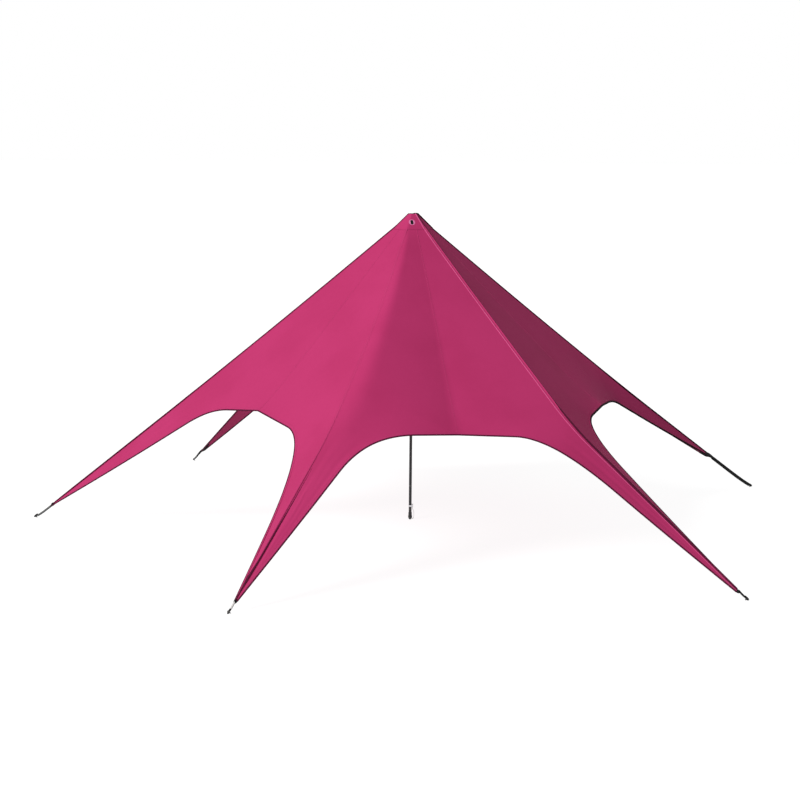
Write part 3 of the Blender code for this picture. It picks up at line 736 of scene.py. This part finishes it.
def layHems():
    look = seamLook
    hem, thread = Shape(), Shape()
    bindings = {finish: Shape() for finish in ("binding", "inkAndShade")}
    width, thick, half = look["hem"], look["hemThick"], look["bindingThick"] / 2
    bound, clear = look["binding"], look["clear"]
    hemSection = [(0.0, 0.0002), (width, 0.0002), (width, clear + thick * 0.7),
                  (width - 0.002, clear + thick), (0.0, clear + thick)]
    boundSection = [(-0.0030, -half * 0.6), (0.0, -half), (bound, -half * 0.9),
                    (bound, half), (0.0, half * 1.15), (-0.0030, half * 0.6)]
    for panel, name in enumerate(panelNames):
        # The right front panel's edge binding is near-black and widened: painted shade along its shaded edge
        binding = bindings["inkAndShade" if name == "right_front" else "binding"]
        path, nextIn = alongEdge(grids, panel, 0), alongEdge(grids, panel, 1)
        wide = alongEdge(goreWidth[..., None], panel, 0)
        ahead = tangents(path)
        inward = nextIn - path
        inward = unit(inward - ahead * (inward * ahead).sum(1, keepdims=True))
        lift = upwards(unit(np.cross(inward, ahead)))
        room = np.clip(wide * 0.45 / width, 0.1, 1.0)
        hem.sweep(path, inward, lift, hemSection, widths=room)
        shadeWiden = look["shadeBindingWiden"].get(name, 1.0)
        widen = np.minimum(shadeWiden, np.maximum(wide * 0.42 / bound, 1.0))
        binding.sweep(path, inward, lift, boundSection, widths=widen)
        for inset in look["hemStitches"]:
            line = path + inward * ((width - inset) * room)[:, None]
            thread.stitches(line + lift * (clear + thick + look["stitchLift"]), inward, lift)
    return [hem.piece("canopy_hem", "hem", "canopy_cloth"), thread.piece("hem_stitching", "roseThread")] + [
        shape.piece("edge_" + finish, finish) for finish, shape in bindings.items()]


def laySeams():
    look = seamLook
    tape, thread = Shape(), Shape()
    half, thick = look["tape"] / 2, look["tapeThick"]
    for panel in range(6):
        path, lift = grids[2 * panel, :roofRows + 1, 0], unit(normals[2 * panel, :roofRows + 1, 0])
        side = unit(np.cross(tangents(path), lift))
        tape.sweep(path, side, lift, [(-half, 0.0), (half, 0.0), (half, thick * 0.6), (half - 0.0015, thick),
                                      (-half + 0.0015, thick), (-half, thick * 0.6)])
        for offset in (-half + 0.003, half - 0.003):
            thread.stitches(path + side * offset + lift * (thick + look["stitchLift"]), side, lift)
    return [tape.piece("panel_seams", "hem", "canopy_cloth"), thread.piece("seam_stitching", "roseThread")]


# A line down a gore at a distance from its ridge, on the cloth, with the cloth's normals there
def lineOnGore(gore, distance):
    line, lift = np.zeros((2, grids.shape[1], 3))
    for row, side in enumerate(np.broadcast_to(distance, grids.shape[1])):
        for k in range(3):
            line[row, k] = np.interp(side, goreLateral[gore, row, ::-1], grids[gore, row, ::-1, k])
            lift[row, k] = np.interp(side, goreLateral[gore, row, ::-1], normals[gore, row, ::-1, k])
    return line, unit(lift)


def layRidges():
    look = seamLook
    welt, thread = Shape(), Shape()
    piping = {finish: Shape() for finish in pipingFinishes}
    for index, name in enumerate(legNames):
        rightGore, leftGore = 2 * index, (2 * index - 1) % 12
        path, lift = grids[rightGore, :, -1], normals[rightGore, :, -1]
        ahead = tangents(path)
        lift = unit(lift - ahead * (lift * ahead).sum(1, keepdims=True))
        side = unit(np.cross(lift, ahead))
        run = runAlong(path)
        narrow = np.minimum(goreWidth[rightGore], goreWidth[leftGore])
        taper = np.clip(narrow / 0.10, 0.30, 1.0)
        soft = 0.25 if name == "front_left" else 1.0
        height = look["weltHigh"] * taper * (soft + (1 - soft) * smooth(run, 3.3, 4.2))
        welt.sweep(path, side, lift, arch, widths=look["welt"] / 2 * taper, heights=height)
        for leg, finish, points in ridgeLines:
            if leg != name:
                continue
            runs, shifts, radii = np.array(points).T
            shift, radius = np.interp(run, runs, shifts), np.interp(run, runs, radii)
            reach = np.minimum(np.abs(shift), narrow * 0.45)
            (line, rise), (leftLine, leftRise) = lineOnGore(rightGore, reach), lineOnGore(leftGore, reach)
            onLeft = (shift < 0)[:, None]
            line, rise = np.where(onLeft, leftLine, line), np.where(onLeft, leftRise, rise)
            line = line + rise * (0.4 * height * np.clip(1 - reach / 0.01, 0, 1))[:, None]
            across = unit(np.cross(rise, tangents(line)))
            first = np.searchsorted(run, runs[0])
            piping[finish].sweep(line[first:], across[first:], rise[first:], round8, widths=radius[first:],
                                 heights=np.minimum(radius[first:] * 0.9, 0.009))
        for gore in (rightGore, leftGore):
            for offset in look["ridgeStitches"]:
                line, rise = lineOnGore(gore, offset * taper)
                flat = unit(np.cross(rise, tangents(line)))
                thread.stitches(line + rise * (look["clear"] + look["stitchLift"]), flat, rise)
    return ([welt.piece("ridge_welts", "hem", "canopy_cloth"), thread.piece("ridge_stitching", "roseThread")]
            + [shape.piece("ridge_piping_" + finish, finish) for finish, shape in piping.items()])


canopyTrim = layHems() + laySeams() + layRidges()
print("canopy trim:", sum(len(piece.data.polygons) for piece in canopyTrim), "faces")

# Crown cap: a lid of doubled cloth with rounded ridges, a hem, a black top patch and a vent eyelet whose
# opening is filled with painted shade
capLook = {
    "sectors": 6, "perSector": 14, "topRows": 5, "sideRows": 26, "rounding": 46.0, "thick": 0.0024,
    "hemLift": 0.0012, "hem": 0.022, "patchThick": 0.0050, "flat": (0.67, 0.58), "area": 0.30,
    "eyeletX": -0.045, "eyeletOut": 0.145, "hole": (0.022, 0.056), "rim": (0.037, 0.074),
    "mesh": (0.034, 0.072), "patch": (0.080, 0.090), "bandTurns": (78.0, 150.0), "bandLong": 0.060,
    "weltHalf": 0.0085, "weltHigh": 0.0030, "shadePipingStart": 0.008,
}


def hexOut(angles):
    corners = np.arange(6) * math.pi / 3
    lobes = np.maximum(np.cos(angles[:, None] - corners[None]), 0.0) ** capLook["rounding"]
    return halfPanelCos / lobes.sum(1) ** (1.0 / capLook["rounding"])


capAngles = np.arange(capLook["sectors"] * capLook["perSector"]) * math.radians(60.0 / capLook["perSector"])


def capSurface(out, above=0.0, angles=capAngles):
    ring = hexOut(angles) * out
    share = np.clip((out - tent["crownOut"]) / (tent["capOut"] - tent["crownOut"]), 0.0, 1.0)
    height = capHeight(max(out, tent["crownOut"])) + capLook["hemLift"] * share + above
    return np.stack((ring * np.sin(angles), -ring * np.cos(angles), np.full(len(angles), height)), 1)


def ovalPoints(width, length, low, high, steps=12):
    inner, outer = tent["crownOut"] * halfPanelCos, tent["capOut"] * halfPanelCos
    slope = (tent["apex"] - capHeight(tent["capOut"])) / (outer - inner)
    out = capLook["eyeletOut"]
    centre = np.array((capLook["eyeletX"], -out, tent["apex"] - (out - inner) * slope))
    down = unit(np.array((0.0, -1.0, -slope)))
    rise = np.cross((1.0, 0.0, 0.0), down) * -1.0
    ring = []
    for end in (1.0, -1.0):
        for k in range(steps + 1):
            angle = math.pi * k / steps
            x = end * math.cos(angle) * width / 2
            y = end * (math.sin(angle) * width / 2 + (length - width) / 2)
            ring.append(centre + np.array((1.0, 0.0, 0.0)) * x + down * y)
    ring = np.array(ring)
    return np.concatenate((ring + rise * low, ring + rise * high)), len(ring)


def makeCap():
    look = capLook
    outs = list(np.linspace(0.004, tent["crownOut"], look["topRows"]))
    outs += list(np.linspace(tent["crownOut"], tent["capOut"], look["sideRows"])[1:])
    rings = [capSurface(out) for out in outs]
    count = len(rings[0])
    shape = Shape()
    faces = ringFaces(len(rings), count) + [tuple(range(count))[::-1]]
    shape.add(np.concatenate(rings), faces)
    cap = shape.piece("crown_cap_cloth", "rose", "canopy_cloth", 60.0, ["crown_cap"], closed=False)
    solid = cap.modifiers.new("double_cloth", "SOLIDIFY")
    solid.thickness, solid.offset = look["thick"], -1.0
    ring, count = ovalPoints(*look["hole"], -0.03, 0.03)
    cutter = Shape()
    cutter.add(ring, endFaces(2, count) + ringFaces(2, count))
    tool = cutter.piece("eyelet_tool", "rose")
    cut = cap.modifiers.new("eyelet", "BOOLEAN")
    cut.operation, cut.solver, cut.object = "DIFFERENCE", "EXACT", tool
    applyModifiers(cap)
    bpy.data.objects.remove(tool, do_unlink=True)
    return cap


def applyModifiers(piece):
    graph = bpy.context.evaluated_depsgraph_get()
    made = bpy.data.meshes.new_from_object(piece.evaluated_get(graph), depsgraph=graph)
    piece.modifiers.clear()
    piece.data = made


# The welt and piping over one leg's ridge, from the crown to the cap's edge
def layCapRidge(name, welt, piping):
    look, azimuth, edge = capLook, legPitch[name]["azimuth"], tent["capOut"]
    side = np.cross(up, polar(1.0, azimuth, 0.0))
    lines = [(welt, 0.0, look["weltHalf"], look["weltHigh"])] if name != "front_left" else []
    # Ridge lines that start at the crown carry on over the cap, their painted highlight and painted shade
    # with them
    for leg, finish, points in ridgeLines:
        start, shift, radius = points[0]
        if leg == name and not start:
            lines.append((piping[finish], shift, radius, radius))
    for shape, shift, width, height in lines:
        # The right ridge's near-black painted shade starts further in, near the crown's top
        inner = look["shadePipingStart"] if shape is piping["inkAndShade"] else tent["crownOut"] - 0.008
        outs = np.linspace(inner, edge + 0.001, 24)
        turns = [math.radians(azimuth) + shift * min(out / edge, 1.0) / out for out in outs]
        path = np.array([capSurface(out, 0.0, np.array([turn]))[0] for out, turn in zip(outs, turns)])
        lift = upwards(unit(np.cross(side, tangents(path))))
        section = arch if shape is welt else round8
        shape.sweep(path, side, lift, section, widths=width, heights=height * 0.9)


# A webbing plate on the crown, and two black bands that run down from it on the shaded right side, where they
# also paint that side's shade
def makeCrownPatch():
    look, patch = capLook, Shape()
    top, high = capSurface(tent["crownOut"]), look["patchThick"]
    outline = ((0.01, -0.0008), (0.90, -0.0008), (0.94, 0.0004), (0.94, 0.0022), (0.90, high), (0.01, high))
    rim = [top * (size, size, 0.0) + up * (tent["apex"] + z) for size, z in outline]
    patch.add(np.concatenate(rim), ringFaces(len(rim), len(top)) + endFaces(len(rim), len(top)))
    band = [(-0.013, -0.0016), (0.013, -0.0016), (0.014, 0.0),
            (0.013, 0.0016), (-0.013, 0.0016), (-0.014, 0.0)]
    for turn in look["bandTurns"]:
        outward, side = polar(1.0, turn, 0.0), polar(1.0, turn + 90.0, 0.0)
        path = []
        for out in np.linspace(0.012, tent["crownOut"] + look["bandLong"], 16):
            proud = 0.0042 - 0.002 * smooth(out, tent["crownOut"], 0.13)
            path.append(outward * out + up * (capHeight(max(out, tent["crownOut"])) + proud))
        patch.sweep(path, side, upwards(unit(np.cross(side, tangents(np.array(path))))), band)
    return patch


def trimCap():
    look = capLook
    hem, welt, thread, shadeCover, ring = Shape(), Shape(), Shape(), Shape(), Shape()
    edge = tent["capOut"]
    # The hem's outline, as distance out and height; its foot slopes down onto the canopy
    bands = [(edge - look["hem"], 0.0002), (edge - look["hem"], 0.0008), (edge - 0.0080, 0.0008),
             (edge + 0.0100, -0.0050), (edge - 0.0004, -0.0050), (edge - 0.0004, 0.0002)]
    rings = [capSurface(out, lift) for out, lift in bands]
    for loop, (out, _) in zip(rings, bands):
        if out > edge:
            loop[:, 2] += (out - edge) * tent["capSlope"]
    hem.add(np.concatenate(rings), ringFaces(len(rings), len(rings[0]), closed=True))
    for offset in (0.004, look["hem"] - 0.003):
        loop = capSurface(edge - offset, 0.0011)
        loop = np.concatenate((loop, loop[:1]))
        thread.stitches(loop, unit(loop * (1.0, 1.0, 0.0)), up, 0.009, (0.0065, 0.0014, 0.0008))
    piping = {finish: Shape() for finish in pipingFinishes}
    for name in legNames:
        layCapRidge(name, welt, piping)
    patch = makeCrownPatch()
    outer, count = ovalPoints(*look["patch"], 0.0002, 0.0034)
    inner, _ = ovalPoints(*look["rim"], 0.0002, 0.0034)
    ring.add(np.concatenate((outer, inner[count:], inner[:count])), ringFaces(4, count, closed=True))
    # A black cover in the eyelet's opening is painted shade, standing in for the dark inside of the cap seen
    # through the hole
    mesh, count = ovalPoints(*look["mesh"], 0.0030, 0.0038)
    shadeCover.add(mesh, ringFaces(2, count) + endFaces(2, count))
    pieces = [
        hem.piece("cap_hem", "hem", "canopy_cloth"),
        welt.piece("cap_welts", "hem", "canopy_cloth"),
        thread.piece("cap_stitching", "roseThread"),
        patch.piece("cap_top_webbing", "inkAndShade", "tip_webbing"),
        shadeCover.piece("eyelet_painted_shade", "black", "tip_webbing"),
        ring.piece("eyelet_patch", "patch", "canopy_cloth"),
    ]
    return pieces + [shape.piece("cap_piping_" + finish, finish) for finish, shape in piping.items()]


cap = makeCap()
capTrim = trimCap()
print("crown cap:", len(cap.data.polygons), "faces")

# Each leg's tip: a padded webbing sleeve sewn round the cloth, tubular webbing through it to the peg, and
# a wrapped black end. A strap may sag, or drop at its sleeve, and "end" is its black end's half width. A
# sleeve starts and ends at shares of tipLook's sleeve length past the cloth
tipLook = {
    "sleeve": 0.075, "pastPeg": 0.018, "eyeRing": (0.0098, 0.0026), "endBack": 0.042, "endPast": 0.028,
    "thin": 0.0017, "pressed": 0.0024,
}
# The straps are all one webbing; their finishes by leg are painted light and shade, pale grey on the sunlit
# front left leg, dim grey on the left legs and black on the shaded right side
straps = {
    "front_left": {"finish": "grey", "wide": 0.025, "thick": 0.021, "end": 0.012, "sag": 0.002},
    "front_right": {"finish": "black", "wide": 0.024, "thick": 0.022, "end": 0.018, "sag": 0.002},
    "right": {"finish": "black", "wide": 0.049, "thick": 0.047, "end": 0.024, "drop": 0.024},
    "back_right": {"finish": "black", "wide": 0.046, "thick": 0.042, "end": 0.022, "sag": 0.006},
    "back_left": {"finish": "dim", "wide": 0.028, "thick": 0.030, "end": 0.014},
    "left": {"finish": "dim", "wide": 0.030, "thick": 0.028, "end": 0.018, "drop": 0.024},
}
# The sleeves run longest on the right and back legs, whose tips lie in shade; there their black also paints
# the shade on the cloth by the tip
sleeves = {
    "front_left": {"start": -0.25, "end": 0.50, "padding": 0.0115, "half": 0.0115},
    "front_right": {"start": -0.20, "end": 0.60, "padding": 0.013, "half": 0.013},
    "right": {"start": -1.60, "end": 1.60, "padding": 0.022, "half": 0.024},
    "back_right": {"start": -1.20, "end": 1.40, "padding": 0.020, "half": 0.022},
    "back_left": {"start": -2.40, "end": 2.60, "padding": 0.017, "half": 0.015},
    "left": {"start": -0.60, "end": 0.20, "padding": 0.019, "half": 0.015},
}


# The sleeve's middle line across, at a share of its length past the cloth
def sleeveSection(leg, share):
    long, half = tipLook["sleeve"], sleeves[leg.name]["half"]
    ridge, left, right = leg.fabricEnd, leg.tipEdge(-1.0), leg.tipEdge(1.0)
    spread = np.linspace(-1.0, 1.0, 13)[:, None]
    crowned = 1 - spread ** 2
    start = np.where(spread < 0, ridge + (left - ridge) * -spread, ridge + (right - ridge) * spread)
    start = start - up * 0.004 * crowned
    end = leg.fabricEnd + leg.along * long
    end = end + leg.across * spread * half - up * (straps[leg.name].get("drop", 0.0) - leg.droop)
    end = end + leg.lift * 0.0015 * crowned
    ease = smooth(share)
    return start * (1 - ease) + end * ease + leg.along * (long * (share - ease))


def makeTip(leg):
    look = tipLook
    sleeve, thread, sizes = Shape(), Shape(), sleeves[leg.name]
    first, last = sizes["start"], sizes["end"]
    shares = np.linspace(first, last, 26)
    loops = []
    for share in shares:
        line = sleeveSection(leg, max(share, 0.0))
        if share < 0:  # the sleeve laps back over the cloth
            line = line + leg.along * look["sleeve"] * share
            middle = line[6]
            line = middle + (line - middle) * (1.0 - share * 0.22)
        ahead = tangents(line)
        rise = unit(np.cross(ahead, np.broadcast_to(leg.along, ahead.shape)))
        rise = rise * np.sign((rise @ leg.lift)[:, None])
        # Padded towards the strap, and rounded off at its end
        along = (share - first) / (last - first)
        full = smooth(along, 0.05, 0.60) * math.sqrt(max(1.0 - max((along - 0.70) / 0.31, 0.0) ** 2, 0.0))
        dome = np.sqrt(1.0 - (np.linspace(-1.0, 1.0, 13) * 0.985) ** 2)[:, None]
        half = look["thin"] + sizes["padding"] * full * dome
        loops.append(np.concatenate((line + rise * half, (line - rise * half * 0.8)[::-1])))
    loops = np.array(loops)
    count = loops.shape[1]
    spread = np.concatenate((np.linspace(-1, 1, 13), np.linspace(1, -1, 13)))
    grain = np.zeros(loops.shape)
    grain[..., 0] = spread * sizes["half"]
    grain[..., 1] = (shares * look["sleeve"])[:, None]
    grain[..., 2] = np.abs(spread)
    sleeve.add(loops, ringFaces(len(loops), count) + endFaces(len(loops), count), grain)
    rows = [(loops[1:16, column], leg.across) for column in (2, 4, 8, 10)]
    rows += [(loops[row, 1:12], leg.along) for row in (1, 4, 12)]
    for line, side in rows:
        thread.stitches(line + leg.lift * 0.0006, side, leg.lift, 0.006, (0.0042, 0.0012, 0.0010))
    name = leg.name + "_sleeve"
    sleeve.piece(name, "black", "tip_webbing", 50.0, [leg.name + "_tip_webbing"])
    thread.piece(name + "_stitching", "blackThread")


# Tubular webbing from inside the sleeve to the peg, where it is pressed flat and sewn round an eye ring
def makeStrap(leg):
    look, sizes = tipLook, straps[leg.name]
    strap, thread, ring = Shape(), Shape(), Shape()
    wide, pressed = sizes["wide"], look["pressed"]
    sleeveEnd = look["sleeve"] * sleeves[leg.name]["end"]
    start, end = sleeveEnd - 0.014, leg.tail + look["pastPeg"]
    runs = np.unique(np.concatenate((np.linspace(start, end, 60), np.linspace(leg.tail, end, 14))))
    toEye = leg.tail - runs
    flat = pressed + (sizes["thick"] / 2 - pressed) * smooth(toEye, -0.002, 0.045)
    nose = np.sqrt(np.clip(1.0 - (-toEye / (look["pastPeg"] + 0.0004)).clip(0, 1) ** 2, 0.02, 1))
    free = np.clip((runs - sleeveEnd) / (leg.tail - sleeveEnd), 0, 1)
    lower = sizes.get("sag", 0.0) * np.sin(math.pi * free) + sizes.get("drop", 0.0) * (1 - free ** 5)
    path = leg.eye - leg.along * toEye[:, None] - up * lower[:, None]
    strap.sweep(path, leg.across, leg.lift, roundSection(16), widths=wide / 2 * nose,
                heights=flat * nose ** 0.5)
    outer, wire = look["eyeRing"]
    turns = np.arange(29) * 2 * math.pi / 28
    loop = leg.eye + (leg.across * np.cos(turns)[:, None] + leg.along * np.sin(turns)[:, None]) * outer
    ring.sweep(loop, unit(loop - leg.eye), leg.lift, roundSection(8, wire / 1.2, wire * 1.5))
    turns = np.linspace(0.15, 0.85, 12) * math.pi
    for place in (sleeveEnd + 0.008, leg.tail - 0.034, leg.tail - 0.020):
        row = np.argmin(np.abs(runs - place))
        line = (path[row] + np.cos(turns)[:, None] * leg.across * wide / 2
                + np.sin(turns)[:, None] * leg.lift * (flat[row] + 0.0006))
        thread.stitches(line, leg.along, leg.lift, 0.0045, (0.0034, 0.0014, 0.0010))
    name = leg.name + "_strap"
    # The strap's finish, and with it its thread, follows the painted light and shade set per leg
    strap.piece(name + "_webbing", sizes["finish"], "strap_webbing", 50.0, [name])
    thread.piece(name + "_stitching", "blackThread" if sizes["finish"] == "black" else "paleThread")
    ring.piece(leg.name + "_eye_ring", "fitting", "black_fitting")


# The strap's black wrapped end, from short of the peg to round behind its head
def makeStrapEnd(leg):
    look, half = tipLook, straps[leg.name]["end"]
    runs = np.linspace(-look["endBack"], look["endPast"], 26)
    fromEnds = np.minimum(runs - runs[0], runs[-1] - runs) / (half * 1.2)
    swell = half * np.sqrt(np.clip(1.0 - (1.0 - np.clip(fromEnds, 0.0, 1.0)) ** 2, 0.02, 1.0))
    path = leg.eye + leg.along * runs[:, None] + leg.lift * 0.004
    wrap = Shape()
    wrap.sweep(path, leg.across, leg.lift, roundSection(12), widths=swell, heights=swell * 0.75)
    wrap.piece(leg.name + "_strap_end", "black", "strap_webbing")


for leg in legs.values():
    makeTip(leg)
    makeStrap(leg)
    makeStrapEnd(leg)
print("leg tips made:", len(legs))

# Foot strap: grey webbing from the buckle down to the foot, its sewn end curling out
footLook = {
    "azimuth": 78.0, "half": 0.010, "thick": 0.0024,
    "route": [(0.0300, 0.1622), (0.0300, 0.1502), (0.0440, 0.1200), (0.0500, 0.0850), (0.0490, 0.0400),
              (0.0380, 0.0135), (0.0245, 0.0115)],
}


def roundedRoute(route, steps=12):
    route = np.array(route)
    ends = np.concatenate((route[:1] * 2 - route[1:2], route, route[-1:] * 2 - route[-2:-1]))
    line = []
    for k in range(len(route) - 1):
        a, b, c, d = ends[k:k + 4]
        t = np.arange(steps)[:, None] / steps
        line.append(0.5 * (2 * b + (c - a) * t + (2 * a - 5 * b + 4 * c - d) * t ** 2
                           + (3 * b - a - 3 * c + d) * t ** 3))
    return np.concatenate(line + [route[-1:]])


def makeFootStrap():
    look = footLook
    line = roundedRoute(look["route"])
    outward, side = polar(1.0, look["azimuth"], 0.0), polar(1.0, look["azimuth"] + 90.0, 0.0)
    path = outward * line[:, :1] + up * line[:, 1:]
    lift = unit(np.cross(tangents(path), side))
    strap, thread = Shape(), Shape()
    t, half = look["thick"] / 2, look["half"]
    strap.sweep(path, side, lift, [(-half * 0.95, -t), (half * 0.95, -t), (half, -t * 0.3), (half, t * 0.3),
                                   (half * 0.95, t), (-half * 0.95, t), (-half, t * 0.3), (-half, -t * 0.3)])
    for offset in (-half * 0.78, half * 0.78):
        for face in (1.0, -1.0):
            line = path + side * offset + lift * (t + 0.0004) * face
            thread.stitches(line, side, lift * face, 0.0060, (0.0042, 0.0011, 0.0009))
    strap.piece("foot_strap_webbing", "grey", "strap_webbing", 50.0, ["foot_strap"])
    thread.piece("foot_strap_stitching", "paleThread")


makeFootStrap()

# Small fittings on the mast: the joint collar's clamp rings and spring button
mastLook = {
    "jointUp": 2.15, "collarOut": 0.0235, "rings": (0.070, -0.070, 0.0), "wire": 0.0016,
    "buttonUp": 0.038, "buttonTurn": -12.0,
    "button": [(0.0052, -0.004), (0.0052, 0.0012), (0.0044, 0.0026), (0.0026, 0.0036), (0.0004, 0.0040)],
}


def makeMastFittings():
    look, out = mastLook, mastLook["collarOut"]
    rings, button = Shape(), Shape()
    turns = np.arange(37) * 2 * math.pi / 36
    for offset in look["rings"]:
        height = np.full(37, look["jointUp"] + offset)
        path = np.stack((np.cos(turns) * out, np.sin(turns) * out, height), 1)
        rings.sweep(path, unit(path * (1.0, 1.0, 0.0)), up, roundSection(8, look["wire"], look["wire"]))
    ahead, side = polar(1.0, look["buttonTurn"], 0.0), polar(1.0, look["buttonTurn"] + 90.0, 0.0)
    middle = out * ahead + up * (look["jointUp"] + look["buttonUp"])
    loops = [[middle + ahead * depth + side * x + up * z for x, z in roundSection(16, radius, radius)]
             for radius, depth in look["button"]]
    button.add(np.concatenate(loops), ringFaces(len(loops), 16) + endFaces(len(loops), 16))
    rings.piece("collar_rings", "fitting", "black_fitting")
    button.piece("collar_button", "zinc", "zinc_fitting")


makeMastFittings()
print("foot strap and mast fittings made")

# What the CAD nodes that still show are finished in
nodeFinish = {"mast_upper_tube": "mast", "mast_lower_tube": "mast", "mast_head": "fitting",
              "mast_joint_collar": "fitting", "mast_foot": "fitting", "crown_eyelet": "zinc",
              "foot_strap_buckle": "zinc"}
nodeFinish.update({name + "_peg": "fitting" for name in legNames})
for name, finish in nodeFinish.items():
    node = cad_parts[name]
    node.data.materials.clear()
    node.data.materials.append(finishes[finish])
print("nodes finished:", len(nodeFinish))

# Floor, light and camera
studio = {
    "floorHalf": 400.0, "floorGlow": 0.90, "floorTone": 0.22, "sky": 0.345, "skyTint": (0.97, 0.985, 1.0),
    "sun": 2.82, "sunAzimuth": -68.0, "sunUp": 35.0, "sunSoft": 24.0, "sunTint": (1.0, 0.985, 0.965),
}


def makeStudio():
    look = studio
    white = (1.0, 1.0, 1.0, 1.0)
    floor = Finish("studio_floor", {"Specular IOR Level": 0.1, "Roughness": 0.9, "Emission Color": white,
                                    "Base Color": (look["floorTone"],) * 3 + (1.0,),
                                    "Emission Strength": look["floorGlow"]})
    half = look["floorHalf"]
    mesh = bpy.data.meshes.new("studio_floor")
    corners = [(-half, -half, 0), (half, -half, 0), (half, half, 0), (-half, half, 0)]
    mesh.from_pydata(corners, [], [(0, 1, 2, 3)])
    mesh.materials.append(floor.material)
    ground = bpy.data.objects.new("studio_floor", mesh)
    bpy.context.scene.collection.objects.link(ground)
    ground.visible_diffuse = False  # its glow lights nothing
    lamp = bpy.data.lights.new("window_light", "SUN")
    lamp.energy, lamp.angle = look["sun"], math.radians(look["sunSoft"])
    lamp.color = look["sunTint"]
    sun = bpy.data.objects.new("window_light", lamp)
    rise = math.radians(look["sunUp"])
    towards = Vector(polar(math.cos(rise), look["sunAzimuth"], math.sin(rise)))
    sun.rotation_mode = "QUATERNION"
    sun.rotation_quaternion = towards.to_track_quat("Z", "Y")
    bpy.context.scene.collection.objects.link(sun)
    world = bpy.data.worlds.new("studio_air")
    world.use_nodes = True
    tree = world.node_tree
    air = tree.nodes["Background"]
    air.inputs["Color"].default_value = look["skyTint"] + (1.0,)
    air.inputs["Strength"].default_value = look["sky"]
    seen = tree.nodes.new("ShaderNodeBackground")
    seen.inputs["Color"].default_value = white
    rays, both = tree.nodes.new("ShaderNodeLightPath"), tree.nodes.new("ShaderNodeMixShader")
    tree.links.new(rays.outputs["Is Camera Ray"], both.inputs[0])
    tree.links.new(air.outputs[0], both.inputs[1])
    tree.links.new(seen.outputs[0], both.inputs[2])
    tree.links.new(both.outputs[0], tree.nodes["World Output"].inputs[0])
    bpy.context.scene.world = world


# Distance and height in metres, angles in degrees, focal length in millimetres
eye = {"distance": 18.835, "height": 4.915, "azimuth": -12.026, "pitch": 9.933, "yaw": -0.450,
       "roll": 0.493, "lens": 1450.3 / 800.0 * 36.0}


def makeCamera():
    pitch, yaw, roll = (math.radians(eye[key]) for key in ("pitch", "yaw", "roll"))
    turn = math.radians(eye["azimuth"])
    right0 = np.array((math.cos(turn), math.sin(turn), 0.0))
    ahead0 = np.array((-math.sin(turn), math.cos(turn), 0.0))
    level = right0 * math.sin(yaw) * math.cos(pitch) + ahead0 * math.cos(yaw) * math.cos(pitch)
    ahead = level - up * math.sin(pitch)
    right = right0 * math.cos(yaw) - ahead0 * math.sin(yaw)
    rise = np.cross(right, ahead)
    rolled = right * math.cos(roll) + rise * math.sin(roll)
    rise = rise * math.cos(roll) - right * math.sin(roll)
    camera = bpy.data.cameras.new("camera")
    camera.lens, camera.sensor_width = eye["lens"], 36.0
    camera.clip_start, camera.clip_end = 0.5, 2000.0
    holder = bpy.data.objects.new("camera", camera)
    turned = Matrix((rolled, rise, -ahead)).transposed().to_4x4()
    place = Vector(polar(eye["distance"], eye["azimuth"], eye["height"]))
    holder.matrix_world = Matrix.Translation(place) @ turned
    bpy.context.scene.collection.objects.link(holder)
    bpy.context.scene.camera = holder


makeStudio()
makeCamera()
bpy.context.scene.view_settings.view_transform = "Standard"
print("studio and camera set")
